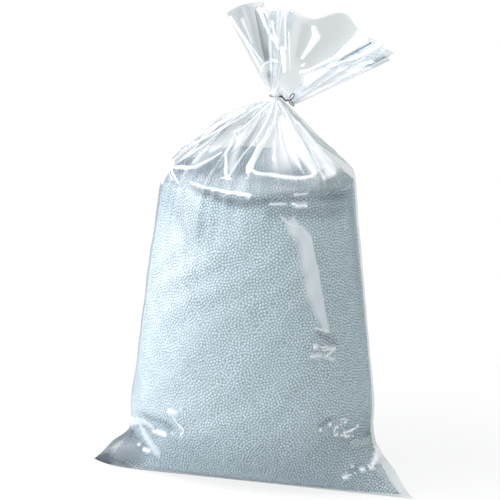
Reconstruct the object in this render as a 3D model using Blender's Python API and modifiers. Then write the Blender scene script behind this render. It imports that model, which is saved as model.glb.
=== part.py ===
"""Clear film bag of small white beads, gathered at the neck and closed with a twisted wire.

Units are metres, +Z is up, +X runs from the left ear to the right ear, and the front faces -Y.
The bag stands on the floor at Z = 0. It has three pieces: the film tube with its welded bottom,
the bead fill inside it, and the wire tie round its neck.
"""
import math
from bisect import bisect_right
from collections import namedtuple

import bmesh
import bpy
from mathutils import Vector

# Film tube
LAY_FLAT_WIDTH = 0.400
FILM_WALL = 0.0003
SEAM_THICKNESS = 0.0014
SEAM_FORWARD = 0.045
LEFT_EAR_LIFT = 0.008

# Bottom, from the welded seam to the pinches above the ears
TOE_FRONT = 0.012
TOE_BACK = 0.016
TOE_HEIGHT = 0.005
EAR_BACK = 0.048
EAR_HEIGHT = 0.020
LAP_HEIGHT = 0.044
HIP_HEIGHT = 0.066

# Standing body, from the pinches above the ears to the shoulders
PINCH_WIDTH = 0.311
PINCH_HEIGHT = 0.052
BELLY_WIDTH = 0.297
BELLY_HEIGHT = 0.102
WAIST_WIDTH = 0.280
WAIST_HEIGHT = 0.165
CHEST_WIDTH = 0.243
CHEST_HEIGHT = 0.312
SHOULDER_WIDTH = 0.229
SHOULDER_HEIGHT = 0.374
SHOULDER_BACK_RISE = 0.020
SHOULDER_TILT = 0.005
BODY_DEPTH = 0.212
BODY_LEAN = 0.0080
FOOT_DEPTH = 0.105
PINCH_DENT = 0.007
HEEL_RISE = 0.030
WAIST_BACK_HEIGHT = 0.105
RIBS_BACK_HEIGHT = 0.202
CREASE_LIFT = 1.6
LUMP_HEIGHT = 0.0013
LUMP_LENGTH = 0.056
LUMPS_ROUND = 13

# Gathered neck
NECK_HEIGHT = 0.462
NECK_LENGTH = 0.008
NECK_RADIUS = 0.0062
NECK_OFFSET = 0.0165
FLUTE_DEPTH = 0.00035
CHEST_PLEAT_DEPTH = 0.0010
BRIM_PLEAT_DEPTH = 0.0024
SHOULDER_PLEAT_DEPTH = 0.0045
CONE_PLEAT_DEPTH = 0.0160

# Folds of the gathered film, in turns of the tube from the right crease along the back
FOLD_TURNS = (0.045, 0.130, 0.215, 0.300, 0.385, 0.465, 0.545, 0.630, 0.705, 0.770, 0.905, 0.965)

# Flared frill above the tie
FRILL_LEFT_LENGTH = 0.107
FRILL_RIGHT_LENGTH = 0.138
FRILL_MIDDLE_LENGTH = 0.097
FRILL_LEFT_ANGLE = math.radians(122)
FRILL_RIGHT_ANGLE = math.radians(17)
FRILL_DROOP = 0.024
FRILL_DEPTH = 0.028
FLARE_RUN = 0.022
FLARE_START = 0.75
DROOP_RUN = 0.100
FRILL_SAG = 0.008

# Bead fill
FILL_CLEARANCE = 0.0003
FILL_HEIGHT = 0.359
HEAP_HEIGHT = 0.027
HEAP_LEFT = 0.034
HEAP_BACK = 0.025
EAR_EMPTY_LENGTH = 0.014
CREASE_STRIP = 0.0035
EAR_FILL_DEPTH = 0.0008
HEAP_RIPPLE = 0.0012

# Wire tie
WIRE_DIAMETER = 0.0012
TIE_CLEARANCE = 0.0003
TAIL_AZIMUTH = math.radians(-36)
TWIST_LENGTH = 0.0135
TWIST_TURNS = 2.0
STRAND_GAP = 0.0002
EYE_LENGTH = 0.0086
EYE_WIDTH = 0.0050
TAIL_SAG = 0.0042

# Mesh density
COLUMNS = 60
FRILL_ROWS = 8
CAP_ROWS = 5
EYE_POINTS = 14
RING_POINTS = 26
TWIST_POINTS = 22

# Folds of the frill round its mouth, from the right corner along the back and home by the front.
# Each has its turn of the tube, its place in the fan from 0 at the right edge to 1 at the left,
# its reach in frill lengths at that place, and its share of the frill's depth.
MouthFold = namedtuple("MouthFold", "turn place reach depth")
MOUTH_FOLDS = (
    MouthFold(0.000, 0.000, 1.00, 0.00),
    MouthFold(0.050, 0.130, 1.06, 0.95),
    MouthFold(0.083, 0.075, 1.03, 0.40),
    MouthFold(0.150, 0.300, 1.05, 1.00),
    MouthFold(0.183, 0.235, 1.03, 0.42),
    MouthFold(0.250, 0.480, 0.94, 1.00),
    MouthFold(0.283, 0.415, 0.94, 0.42),
    MouthFold(0.350, 0.670, 0.95, 0.95),
    MouthFold(0.383, 0.615, 0.96, 0.42),
    MouthFold(0.450, 0.865, 0.98, 0.90),
    MouthFold(0.500, 1.000, 1.00, 0.00),
    MouthFold(0.550, 0.725, 1.08, -0.95),
    MouthFold(0.583, 0.830, 0.99, -0.36),
    MouthFold(0.650, 0.555, 0.99, -1.00),
    MouthFold(0.683, 0.640, 0.96, -0.42),
    MouthFold(0.750, 0.375, 1.04, -1.00),
    MouthFold(0.783, 0.435, 0.94, -0.42),
    MouthFold(0.800, 0.325, 1.16, -0.60),
    MouthFold(0.817, 0.265, 1.16, -0.80),
    MouthFold(0.850, 0.150, 1.07, -1.00),
    MouthFold(0.883, 0.230, 1.05, -0.42),
    MouthFold(0.950, 0.030, 1.05, -0.80),
    MouthFold(0.967, 0.065, 1.02, -0.30),
    MouthFold(1.000, 0.000, 1.00, 0.00),
)

Section = namedtuple(
    "Section",
    "left_x left_z right_x right_z front_y front_z back_y back_z side_y middle_x point lift pleat",
)


def clear_scene():
    """Start from an empty scene."""
    for item in list(bpy.data.objects):
        bpy.data.objects.remove(item, do_unlink=True)


def new_collection(name):
    """A collection linked to the scene."""
    collection = bpy.data.collections.new(name)
    bpy.context.scene.collection.children.link(collection)
    return collection


def principled(name, colour, roughness, metallic=0.0, alpha=1.0):
    """A Principled material with one colour."""
    material = bpy.data.materials.new(name)
    material.use_nodes = True
    shader = material.node_tree.nodes["Principled BSDF"]
    shader.inputs["Base Color"].default_value = (*colour, 1.0)
    shader.inputs["Roughness"].default_value = roughness
    shader.inputs["Metallic"].default_value = metallic
    shader.inputs["Alpha"].default_value = alpha
    return material


def mix(low, high, share):
    """Value at a share of the way from low to high."""
    return low + (high - low) * share


def ease(value):
    """Smooth step from 0 to 1."""
    value = min(1.0, max(0.0, value))
    return value * value * (3.0 - 2.0 * value)


def body_sections():
    """Cross-sections of the filled film from the bottom seam to the neck, in order.

    Each holds the two side creases, the middles of the front and the back, how far forward the
    creases lie, the section's middle, how pointed its sides are, how abruptly its height changes
    towards the creases and how deep its pleats are.
    """
    seam = LAY_FLAT_WIDTH / 2
    pinch = PINCH_WIDTH / 2
    belly = BELLY_WIDTH / 2
    waist = WAIST_WIDTH / 2
    chest = CHEST_WIDTH / 2
    shoulder = SHOULDER_WIDTH / 2
    depth = BODY_DEPTH / 2
    lip = SEAM_THICKNESS / 2
    heel = FOOT_DEPTH - SEAM_FORWARD
    lean = -BODY_LEAN
    neck_foot = NECK_HEIGHT - NECK_LENGTH / 2
    rise = neck_foot - SHOULDER_HEIGHT
    middle = NECK_OFFSET
    back = SHOULDER_HEIGHT + SHOULDER_BACK_RISE
    ribs = mix(WAIST_HEIGHT, CHEST_HEIGHT, 0.5)
    brim = mix(CHEST_HEIGHT, SHOULDER_HEIGHT, 0.74)

    def level(x_middle, half, height, front, rear, rear_height, side, point, pleat=0.0):
        """A section whose two creases and front lie at one height."""
        return Section(x_middle - half, height, x_middle + half, height, -front, height,
                       rear, rear_height, side, x_middle, point, CREASE_LIFT, pleat)

    def cone(share, left, right, centre, front, rear, pleat):
        """A section of the gathered film between the shoulders and the neck."""
        height = SHOULDER_HEIGHT + rise * share
        rear_height = mix(height, back + (neck_foot - back) * share, 1 - share)
        reach = shoulder - NECK_RADIUS
        return Section(middle - NECK_RADIUS - reach * left, height,
                       middle + NECK_RADIUS + reach * right, height,
                       -depth * front, height, depth * rear, rear_height,
                       0.0, middle * centre, 2.0, CREASE_LIFT, pleat)

    return [
        # Welded seam
        Section(-seam, LEFT_EAR_LIFT, seam, 0.0005, -SEAM_FORWARD - lip, 0.0,
                -SEAM_FORWARD + lip, 0.0, -SEAM_FORWARD, 0.0, 1.25, 6.0, 0.0),
        # Toe just above the seam
        Section(-mix(seam, pinch, 0.20), mix(LEFT_EAR_LIFT, PINCH_HEIGHT, 0.16),
                mix(seam, pinch, 0.20), PINCH_HEIGHT * 0.19,
                -SEAM_FORWARD - TOE_FRONT, TOE_HEIGHT, -SEAM_FORWARD + TOE_BACK, 0.0,
                -SEAM_FORWARD, 0.0, 1.25, 3.5, 0.0),
        # Ears
        Section(lean * 0.4 - mix(seam, pinch, 0.60), mix(LEFT_EAR_LIFT, PINCH_HEIGHT, 0.52),
                lean * 0.4 + mix(seam, pinch, 0.55), PINCH_HEIGHT * 0.60,
                -depth * 0.78, EAR_HEIGHT, -SEAM_FORWARD + EAR_BACK, 0.0,
                -SEAM_FORWARD * 0.85, 0.0, 1.35, 2.0, 0.0),
        # Pinches above the ears
        Section(lean * 0.6 - pinch, PINCH_HEIGHT - 0.006, lean * 0.6 + pinch, PINCH_HEIGHT + 0.002,
                -depth * 0.93, LAP_HEIGHT, heel * 0.60, 0.0,
                -SEAM_FORWARD * 0.55, lean * 0.3, 1.60, CREASE_LIFT, 0.0),
        # Hips
        Section(lean * 0.9 - mix(pinch, belly, 0.2), PINCH_HEIGHT + 0.012,
                lean * 0.9 + mix(pinch, belly, 0.6), PINCH_HEIGHT + 0.020,
                -depth * 0.98, HIP_HEIGHT, heel, 0.0,
                -SEAM_FORWARD * 0.32, lean * 0.8, 1.90, CREASE_LIFT, 0.0),
        # Belly, waist, ribs and chest
        level(lean, belly, BELLY_HEIGHT, depth * 1.02, mix(heel, depth, 0.75), HEEL_RISE,
              -SEAM_FORWARD * 0.12, 2.15),
        level(lean, waist, WAIST_HEIGHT, depth * 1.02, depth * 0.97, WAIST_BACK_HEIGHT, 0.0, 2.25),
        level(lean * 0.9, mix(waist, chest, 0.5), ribs, depth, depth, RIBS_BACK_HEIGHT, 0.0, 2.25),
        level(lean * 0.7, chest, CHEST_HEIGHT, depth * 0.95, depth * 0.98, CHEST_HEIGHT - 0.012,
              0.0, 2.20, CHEST_PLEAT_DEPTH),
        # Brim of the bead fill
        Section(lean * 0.4 - mix(chest, shoulder, 0.75), brim + SHOULDER_TILT * 2,
                lean * 0.4 + mix(chest, shoulder, 0.75), brim,
                -depth * 0.90, brim, depth * 0.93, brim + SHOULDER_BACK_RISE * 0.8,
                0.0, lean * 0.4, 2.15, CREASE_LIFT, BRIM_PLEAT_DEPTH),
        # Shoulders
        Section(lean * 0.2 - shoulder, SHOULDER_HEIGHT + SHOULDER_TILT,
                lean * 0.2 + shoulder, SHOULDER_HEIGHT - SHOULDER_TILT,
                -depth * 0.83, SHOULDER_HEIGHT, depth * 0.86, back,
                0.0, lean * 0.2, 2.10, CREASE_LIFT, SHOULDER_PLEAT_DEPTH),
        # Gathered cone, from the shoulders up
        cone(0.22, 1.06, 0.65, 0.2, 0.71, 0.73, CONE_PLEAT_DEPTH * 0.65),
        cone(0.42, 0.92, 0.49, 0.4, 0.56, 0.58, CONE_PLEAT_DEPTH),
        cone(0.67, 0.67, 0.29, 0.7, 0.36, 0.38, CONE_PLEAT_DEPTH * 0.80),
        cone(0.87, 0.36, 0.12, 0.9, 0.18, 0.19, CONE_PLEAT_DEPTH * 0.30),
        # Foot of the neck
        Section(middle - NECK_RADIUS, neck_foot, middle + NECK_RADIUS, neck_foot,
                -NECK_RADIUS, neck_foot, NECK_RADIUS, neck_foot,
                0.0, middle, 2.00, CREASE_LIFT, FLUTE_DEPTH),
    ]


def monotone_slopes(values):
    """Slopes of a curve through evenly spaced values that never overshoots them."""
    steps = [b - a for a, b in zip(values, values[1:])]
    slopes = [steps[0]]
    for before, after in zip(steps, steps[1:]):
        if before * after <= 0:
            slopes.append(0.0)
        else:
            slopes.append(2 * before * after / (before + after))
    slopes.append(steps[-1])
    return slopes


def section_at(sections, place):
    """Section at a place between two of the listed ones, 0 being the first."""
    low = min(int(place), len(sections) - 2)
    t = place - low
    fields = []
    for values in zip(*sections):
        slopes = monotone_slopes(values)
        start, end = values[low], values[low + 1]
        fields.append(
            start * (1 + 2 * t) * (1 - t) ** 2
            + slopes[low] * t * (1 - t) ** 2
            + end * t * t * (3 - 2 * t)
            + slopes[low + 1] * t * t * (t - 1)
        )
    return Section(*fields)


def column_angle(column):
    """Angle of a column round the section, 0 at the right crease, with pleats of unlike widths."""
    turn = math.tau * column / COLUMNS
    uneven = 0.07 * math.sin(2 * turn) + 0.10 * math.sin(turn) * math.sin(3 * turn + 1.0)
    return turn + uneven


def pleat_wave(column):
    """Height of the pleats at a column, from -1 in a valley to 1 on a fold."""
    turn = column / COLUMNS
    after = bisect_right(FOLD_TURNS, turn)
    folds = (FOLD_TURNS[-1] - 1,) + FOLD_TURNS + (FOLD_TURNS[0] + 1,)
    start, end = folds[after], folds[after + 1]
    return math.cos(math.tau * (turn - start) / (end - start))


def lump(column, z):
    """Height of the soft lumps that the packed beads press into the film."""
    turn = math.tau * column / COLUMNS
    level = math.tau * z / LUMP_LENGTH
    above_ears = ease(z / PINCH_HEIGHT - 0.5)
    below_cone = 1 - ease((z - CHEST_HEIGHT) / (SHOULDER_HEIGHT - CHEST_HEIGHT))
    upward = math.sin(level + 1.3 * math.sin(3 * turn))
    around = math.sin(LUMPS_ROUND * turn + 1.7 * math.sin(level / 3))
    return LUMP_HEIGHT * above_ears * below_cone * upward * around


def pinch_dent(x, z):
    """Depth of the crease that runs inwards from the pinch above each ear."""
    reach = ease((abs(x) - 0.50 * PINCH_WIDTH / 2) / (0.45 * PINCH_WIDTH / 2))
    level = (z - PINCH_HEIGHT - 0.010) / 0.013
    return PINCH_DENT * reach * math.exp(-level * level)


def section_point(section, column):
    """Point of the film's outer face on a section."""
    angle = column_angle(column)
    across = math.cos(angle)
    along = math.sin(angle)
    if across >= 0:
        side_x, side_z = section.right_x, section.right_z
    else:
        side_x, side_z = section.left_x, section.left_z
    if along >= 0:
        face_y, face_z = section.back_y, section.back_z
    else:
        face_y, face_z = section.front_y, section.front_z
    reach = abs(across) ** (2 / max(2.0, section.point))
    bulge = abs(along) ** (2 / section.point)
    blunt = SEAM_THICKNESS / 2 * abs(along) ** 0.3 * (1 - bulge)
    x = mix(section.middle_x, side_x, reach)
    sign = 1 if along >= 0 else -1
    y = section.side_y + (face_y - section.side_y) * bulge + sign * blunt
    edge = max(0.0, (abs(across) - 0.45) / 0.55)
    z = mix(face_z, side_z, edge ** section.lift)
    centre = Vector((section.middle_x, (section.front_y + section.back_y) / 2, z))
    point = Vector((x, y, z))
    outward = point - centre
    outward.z = 0
    if outward.length > 0:
        outward.normalize()
    dent = pinch_dent(x, z) * abs(along) ** 0.5
    valley = section.pleat * (1 - pleat_wave(column)) / 2
    return point + outward * (lump(column, z) * abs(along) - valley - dent)


def body_rows():
    """Rows of points from the seam up to the foot of the neck."""
    sections = body_sections()
    places = [0, 0.5, 1, 1.6, 2.3, 3, 3.5, 4, 4.5, 5, 5.6, 6.3, 7, 7.6, 8.3, 9, 9.5,
              10, 10.5, 11, 12, 13, 14, 15]
    rows = []
    for place in places:
        section = section_at(sections, place)
        rows.append([section_point(section, column) for column in range(COLUMNS)])
    return rows


def neck_row(height):
    """Fluted ring of the neck at a height."""
    row = []
    for column in range(COLUMNS):
        angle = column_angle(column)
        radius = NECK_RADIUS + FLUTE_DEPTH * pleat_wave(column)
        row.append(Vector((NECK_OFFSET + radius * math.cos(angle), radius * math.sin(angle), height)))
    return row


def mouth_fold(turn):
    """Place, reach and depth of the frill at a turn, on the flat panel between two folds."""
    after = bisect_right([fold.turn for fold in MOUTH_FOLDS], turn)
    low, high = MOUTH_FOLDS[after - 1], MOUTH_FOLDS[after]
    share = (turn - low.turn) / (high.turn - low.turn)
    return [mix(start, end, share) for start, end in zip(low[1:], high[1:])]


def frill_point(start, column, share):
    """Point of the frill at a share of its length, fanned out and folded over itself."""
    place, reach, depth = mouth_fold(column / COLUMNS)
    across = 1 - 2 * place
    side = FRILL_RIGHT_LENGTH if across >= 0 else FRILL_LEFT_LENGTH
    run = mix(FRILL_MIDDLE_LENGTH, side, abs(across) ** 2.5) * reach * share
    fan = mix(FRILL_RIGHT_ANGLE, FRILL_LEFT_ANGLE, place)
    spread = ease(run / FLARE_RUN)
    lean = mix(math.pi / 2, fan, mix(FLARE_START, 1.0, spread))
    sag = FRILL_DROOP * ease(across) + FRILL_SAG * ease(-across)
    droop = sag * math.sin(math.pi * min(1.0, run / DROOP_RUN)) ** 1.4
    x = start.x + run * math.cos(lean)
    y = start.y + FRILL_DEPTH * depth * share
    z = start.z + run * math.sin(lean) - droop
    return Vector((x, y, z))


def film_rows():
    """All rows of the film's outer face from the seam to the mouth."""
    rows = body_rows()
    rows.append(neck_row(NECK_HEIGHT))
    top = neck_row(NECK_HEIGHT + NECK_LENGTH / 2)
    rows.append(top)
    for step in range(1, FRILL_ROWS + 1):
        share = (step / FRILL_ROWS) ** 1.25
        rows.append([frill_point(top[column], column, share) for column in range(COLUMNS)])
    return rows


def skin(mesh, rows):
    """Join rows of vertices into a closed tube of triangles, facing outwards."""
    grid = [[mesh.verts.new(point) for point in row] for row in rows]
    for low, high in zip(grid, grid[1:]):
        for column in range(COLUMNS):
            after = (column + 1) % COLUMNS
            mesh.faces.new((low[column], low[after], high[after]))
            mesh.faces.new((low[column], high[after], high[column]))
    return grid


def close_slot(mesh, row):
    """Close the narrow bottom of a tube between its front and its back."""
    half = COLUMNS // 2
    for column in range(half):
        front = (COLUMNS - column) % COLUMNS
        front_next = COLUMNS - column - 1
        if column == 0:
            mesh.faces.new((row[0], row[front_next], row[1]))
        elif column == half - 1:
            mesh.faces.new((row[column], row[front], row[half]))
        else:
            mesh.faces.new((row[column], row[front], row[front_next]))
            mesh.faces.new((row[column], row[front_next], row[column + 1]))


def mesh_object(name, mesh, collection, material, crease=math.radians(40)):
    """An object from a bmesh, shaded smooth except across sharp folds."""
    data = bpy.data.meshes.new(name)
    mesh.to_mesh(data)
    mesh.free()
    data.shade_smooth()
    data.set_sharp_from_angle(angle=crease)
    data.materials.append(material)
    item = bpy.data.objects.new(name, data)
    collection.objects.link(item)
    return item


def make_film(collection, rows):
    """The film tube: welded at the bottom, gathered at the neck and open at the mouth."""
    mesh = bmesh.new()
    grid = skin(mesh, rows)
    close_slot(mesh, grid[0])
    material = principled("clear_film", (0.86, 0.91, 0.92), 0.12, alpha=0.35)
    film = mesh_object("bag_film", mesh, collection, material)
    wall = film.modifiers.new("wall", "SOLIDIFY")
    wall.thickness = FILM_WALL
    wall.offset = -1
    wall.use_rim = True
    return film


def row_normals(rows, index):
    """Outward normals of the film at one row."""
    below = rows[max(0, index - 1)]
    above = rows[min(len(rows) - 1, index + 1)]
    row = rows[index]
    normals = []
    for column in range(COLUMNS):
        around = row[(column + 1) % COLUMNS] - row[column - 1]
        upward = above[column] - below[column]
        normals.append(around.cross(upward).normalized())
    return normals


def fill_rows(rows):
    """Rows of the bead mass: the film's inner face with a clearance, short of the creases."""
    depth = FILM_WALL + FILL_CLEARANCE
    result = []
    for index in range(1, len(rows)):
        row = rows[index]
        middle = (row[0].x + row[COLUMNS // 2].x) / 2
        front = row[3 * COLUMNS // 4]
        if front.z > FILL_HEIGHT:
            break
        half = (row[0].x - row[COLUMNS // 2].x) / 2
        side_y = row[0].y
        low = 1 - ease(front.z / PINCH_HEIGHT)
        shrink = 1 - mix(CREASE_STRIP, EAR_EMPTY_LENGTH, low) / half
        points = []
        for column, (point, normal) in enumerate(zip(row, row_normals(rows, index))):
            angle = column_angle(column)
            inner = point - normal * depth
            inner.x = middle + (inner.x - middle) * shrink
            side = 1 if math.sin(angle) >= 0 else -1
            least = EAR_FILL_DEPTH * abs(math.sin(angle)) ** 0.5
            inner.y = side_y + side * max(side * (inner.y - side_y), least)
            inner.z = max(inner.z, depth)
            points.append(inner)
        result.append(points)
    return result


def heap_rows(edge):
    """Rings of the heaped top of the beads inside their edge, and its summit."""
    summit = sum(edge, Vector()) / len(edge) + Vector((-HEAP_LEFT, HEAP_BACK, HEAP_HEIGHT))
    rings = []
    for step in range(1, CAP_ROWS):
        share = step / CAP_ROWS
        swell = 1 - (1 - share) ** 3
        ring = []
        for column, point in enumerate(edge):
            ripple = HEAP_RIPPLE * math.sin(3 * column_angle(column) + 4 * share) * share
            x = mix(point.x, summit.x, share)
            y = mix(point.y, summit.y, share)
            z = mix(point.z, summit.z, swell) + ripple
            ring.append(Vector((x, y, z)))
        rings.append(ring)
    return rings, summit


def make_fill(collection, rows):
    """The bead mass that fills the bag up to its shoulders."""
    levels = fill_rows(rows)
    rings, summit = heap_rows(levels[-1])
    mesh = bmesh.new()
    grid = skin(mesh, levels + rings)
    close_slot(mesh, grid[0])
    top = mesh.verts.new(summit)
    last = grid[-1]
    for column in range(COLUMNS):
        mesh.faces.new((last[column], last[(column + 1) % COLUMNS], top))
    material = principled("white_beads", (0.80, 0.86, 0.92), 0.75)
    return mesh_object("bead_fill", mesh, collection, material)


def eye_points(base, outward, across):
    """An eye at the end of the wire: most of an ellipse that starts and stops beside its base."""
    opening = math.radians(24)
    centre = base + outward * (EYE_LENGTH / 2 * math.cos(opening))
    start = across * (EYE_WIDTH / 2 * math.sin(opening))
    points = []
    for step in range(EYE_POINTS + 1):
        turn = mix(opening, math.tau - opening, step / EYE_POINTS)
        points.append(centre - outward * (EYE_LENGTH / 2 * math.cos(turn))
                      + across * (EYE_WIDTH / 2 * math.sin(turn)) - start)
    return points


def tie_route():
    """Route of the wire from one eye, down the twist, round the neck and back to the other eye."""
    ring_radius = NECK_RADIUS + FLUTE_DEPTH + TIE_CLEARANCE + WIRE_DIAMETER / 2
    strand = (WIRE_DIAMETER + STRAND_GAP) / 2
    centre = Vector((NECK_OFFSET, 0, NECK_HEIGHT))
    radial = Vector((math.cos(TAIL_AZIMUTH), math.sin(TAIL_AZIMUTH), 0))
    side = Vector((-radial.y, radial.x, 0))
    up = Vector((0, 0, 1))
    twist_start = ring_radius + 2.6 * WIRE_DIAMETER
    opening = math.radians(34)

    def twist_point(share, sign):
        """Point on one strand of the twisted tail."""
        sag = -TAIL_SAG * (ease(share * 1.6) - 0.38 * share * share)
        middle = centre + radial * (twist_start + TWIST_LENGTH * share) + up * sag
        turn = math.tau * TWIST_TURNS * share
        return middle + (side * math.cos(turn) + up * math.sin(turn)) * strand * sign

    def strand_points(sign):
        """One strand from the ring to its eye."""
        leave = ring_radius * 1.10
        bend = centre + radial * (leave * math.cos(opening / 2)) + side * (sign * 0.0019)
        points = [bend]
        for step in range(TWIST_POINTS + 1):
            points.append(twist_point(step / TWIST_POINTS, sign))
        end = points[-1]
        lift = 1.15 if sign > 0 else -0.75
        outward = (radial + up * lift + side * 0.35).normalized()
        spread = (outward.cross(radial)).cross(outward).normalized()
        neck_end = end + (outward + radial).normalized() * (WIRE_DIAMETER * 1.2)
        points.extend(eye_points(neck_end, outward, spread))
        return points

    ring = []
    for step in range(RING_POINTS + 1):
        turn = TAIL_AZIMUTH + mix(opening, math.tau - opening, step / RING_POINTS)
        ring.append(centre + Vector((math.cos(turn), math.sin(turn), 0)) * ring_radius)
    first = strand_points(1)
    second = strand_points(-1)
    return list(reversed(first)) + ring + second


def make_tie(collection):
    """The wire tie, a single wire with a round section."""
    route = tie_route()
    curve = bpy.data.curves.new("wire_tie", "CURVE")
    curve.dimensions = "3D"
    curve.bevel_depth = WIRE_DIAMETER / 2
    curve.bevel_resolution = 2
    curve.use_fill_caps = True
    spline = curve.splines.new("POLY")
    spline.points.add(len(route) - 1)
    for spot, point in zip(spline.points, route):
        spot.co = (*point, 1.0)
    curve.materials.append(principled("tie_wire", (0.10, 0.10, 0.11), 0.40, metallic=0.9))
    tie = bpy.data.objects.new("wire_tie", curve)
    collection.objects.link(tie)
    return tie


def main():
    """Build the bag."""
    clear_scene()
    parts = new_collection("bead_bag")
    rows = film_rows()
    make_film(parts, rows)
    make_fill(parts, rows)
    make_tie(parts)


main()
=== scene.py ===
"""Looks of a clear film bag of small white beads, gathered at the neck and closed with a wire.

Laid out as a Blender add-on and run as a script. Units are metres, +Z is up, +X runs from the left
ear to the right ear, and the front faces -Y. The film tube is built ring by ring, from its welded
seam up to the mouth of the frill, and every bead that shows is a small round of its own.
"""
import math
from collections import namedtuple

import bmesh
import bpy
import numpy as np
from bpy.props import FloatProperty, FloatVectorProperty, IntProperty, PointerProperty
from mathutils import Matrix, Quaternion, Vector, bvhtree, kdtree


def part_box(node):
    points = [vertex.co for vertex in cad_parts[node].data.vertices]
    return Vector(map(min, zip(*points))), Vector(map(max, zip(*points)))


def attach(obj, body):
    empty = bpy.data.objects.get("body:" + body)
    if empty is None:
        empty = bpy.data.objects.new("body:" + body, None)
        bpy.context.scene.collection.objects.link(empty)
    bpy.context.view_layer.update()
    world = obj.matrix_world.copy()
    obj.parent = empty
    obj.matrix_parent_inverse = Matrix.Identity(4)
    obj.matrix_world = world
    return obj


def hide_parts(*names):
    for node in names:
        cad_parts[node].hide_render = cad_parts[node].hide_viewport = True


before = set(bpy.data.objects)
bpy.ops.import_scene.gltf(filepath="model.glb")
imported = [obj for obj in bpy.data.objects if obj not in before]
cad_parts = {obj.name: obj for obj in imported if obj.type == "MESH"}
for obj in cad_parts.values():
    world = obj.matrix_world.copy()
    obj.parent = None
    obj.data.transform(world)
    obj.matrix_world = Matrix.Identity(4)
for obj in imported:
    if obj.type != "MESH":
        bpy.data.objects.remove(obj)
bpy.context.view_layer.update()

bl_info = {
    "name": "Bag of polystyrene beads",
    "version": (1, 0, 0),
    "blender": (4, 5, 0),
    "location": "View3D > Sidebar > Bead bag",
    "description": "Makes a clear film bag of small white beads closed with a wire tie",
    "category": "Add Mesh",
}

BODY = "root"

# Film tube
LAY_FLAT_WIDTH = 0.400
SEAM_THICKNESS = 0.0014
SEAM_FORWARD = 0.045
LEFT_EAR_LIFT = 0.008
RIGHT_EAR_LIFT = 0.0005

# Bottom, from the welded seam to the pinches above the ears
TOE_FRONT = 0.012
TOE_BACK = 0.016
TOE_HEIGHT = 0.005
EAR_BACK = 0.048
EAR_HEIGHT = 0.020
LAP_HEIGHT = 0.044
HIP_HEIGHT = 0.066
HIP_LEFT_RISE = 0.012
HIP_RIGHT_RISE = 0.020

# Standing body, from the pinches above the ears to the shoulders, the brim of the fill lying a
# share of the way from the chest to the shoulders
PINCH_WIDTH = 0.311
PINCH_HEIGHT = 0.052
PINCH_LEFT_DROP = 0.006
PINCH_RIGHT_RISE = 0.002
BELLY_WIDTH = 0.297
BELLY_HEIGHT = 0.102
WAIST_WIDTH = 0.280
WAIST_HEIGHT = 0.165
CHEST_WIDTH = 0.243
CHEST_HEIGHT = 0.312
CHEST_BACK_DROP = 0.012
BRIM_SHARE = 0.74
SHOULDER_WIDTH = 0.229
SHOULDER_HEIGHT = 0.374
SHOULDER_BACK_RISE = 0.020
SHOULDER_TILT = 0.005
BODY_DEPTH = 0.212
BODY_LEAN = 0.0080
FOOT_DEPTH = 0.105
PINCH_DENT = 0.007
DENT_RISE = 0.010
DENT_SPREAD = 0.013
DENT_START = 0.50
DENT_RUN = 0.45
HEEL_RISE = 0.030
WAIST_BACK_HEIGHT = 0.105
RIBS_BACK_HEIGHT = 0.202
CREASE_LIFT = 1.6
CREASE_START = 0.45
BLUNT_POWER = 0.3
DENT_POWER = 0.5
LUMP_HEIGHT = 0.0013
LUMP_LENGTH = 0.056
LUMPS_ROUND = 13
LUMP_SWAY = 1.3
LUMP_SWING = 1.7

# Gathered neck
NECK_HEIGHT = 0.462
NECK_LENGTH = 0.008
NECK_RADIUS = 0.0062
NECK_OFFSET = 0.0165
FLUTE_DEPTH = 0.00035
CHEST_PLEAT_DEPTH = 0.0010
BRIM_PLEAT_DEPTH = 0.0024
SHOULDER_PLEAT_DEPTH = 0.0045
CONE_PLEAT_DEPTH = 0.0160
SMALL_PLEATS = 23
SMALL_PLEAT_SHARE = 0.28

# Folds of the gathered film, in turns of the tube from the right crease along the back
FOLD_TURNS = (0.045, 0.130, 0.215, 0.300, 0.385, 0.465, 0.545, 0.630, 0.705, 0.770, 0.905, 0.965)
# How far the folds stray from even widths, and where their quick sway starts
FOLD_SWAY = (0.07, 0.10)
FOLD_SWAY_PHASE = 1.0
# Waves that shift the small pleats between the folds: depth, number round the tube and phase
PLEAT_SWAY = ((0.11, 2, 0.5), (0.05, 5, 2.0))

# Flared frill above the tie
FRILL_LEFT_LENGTH = 0.107
FRILL_RIGHT_LENGTH = 0.138
FRILL_MIDDLE_LENGTH = 0.097
FRILL_LEFT_ANGLE = math.radians(122)
FRILL_RIGHT_ANGLE = math.radians(17)
FRILL_DROOP = 0.0225
FRILL_DEPTH = 0.028
FLARE_RUN = 0.022
FLARE_START = 0.92
DROOP_START = 0.018
DROOP_RUN = 0.145
CORNER_POWER = 2.5
FRILL_SAG = 0.006

# Bead fill
FILL_HEIGHT = 0.359
HEAP_HEIGHT = 0.027
HEAP_LEFT = 0.034
HEAP_BACK = 0.025
HEAP_RIPPLE = 0.0012
HEAP_RINGS = 9
LEFT_EAR_EMPTY = 0.014
RIGHT_EAR_EMPTY = 0.010
CREASE_STRIP = 0.0016
EAR_FILL_DEPTH = 0.0024
FILM_GAP = 0.0003
# Depth of the packed bed under the film, in bead diameters
BED_INSET = 0.62
# Share of the beads' colour that the packed bed shows, and that the beads of the heap show: painted
# shade between the beads and over the heap
BED_PAINTED_SHADE = 0.62
HEAP_PAINTED_SHADE = 0.68
# Share of the pitch that strewn beads keep at least, and how they are then pushed apart
STREW_SHARE = 0.80
STREW_DENSITY = 3.0
PUSH_NEIGHBOURS = 8
PUSH_REACH = 1.25
PUSH_STEP = 0.45
PUSH_ROUNDS = 8
# Step between the seeds of the groups of beads
SEED_STEP = 10
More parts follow.
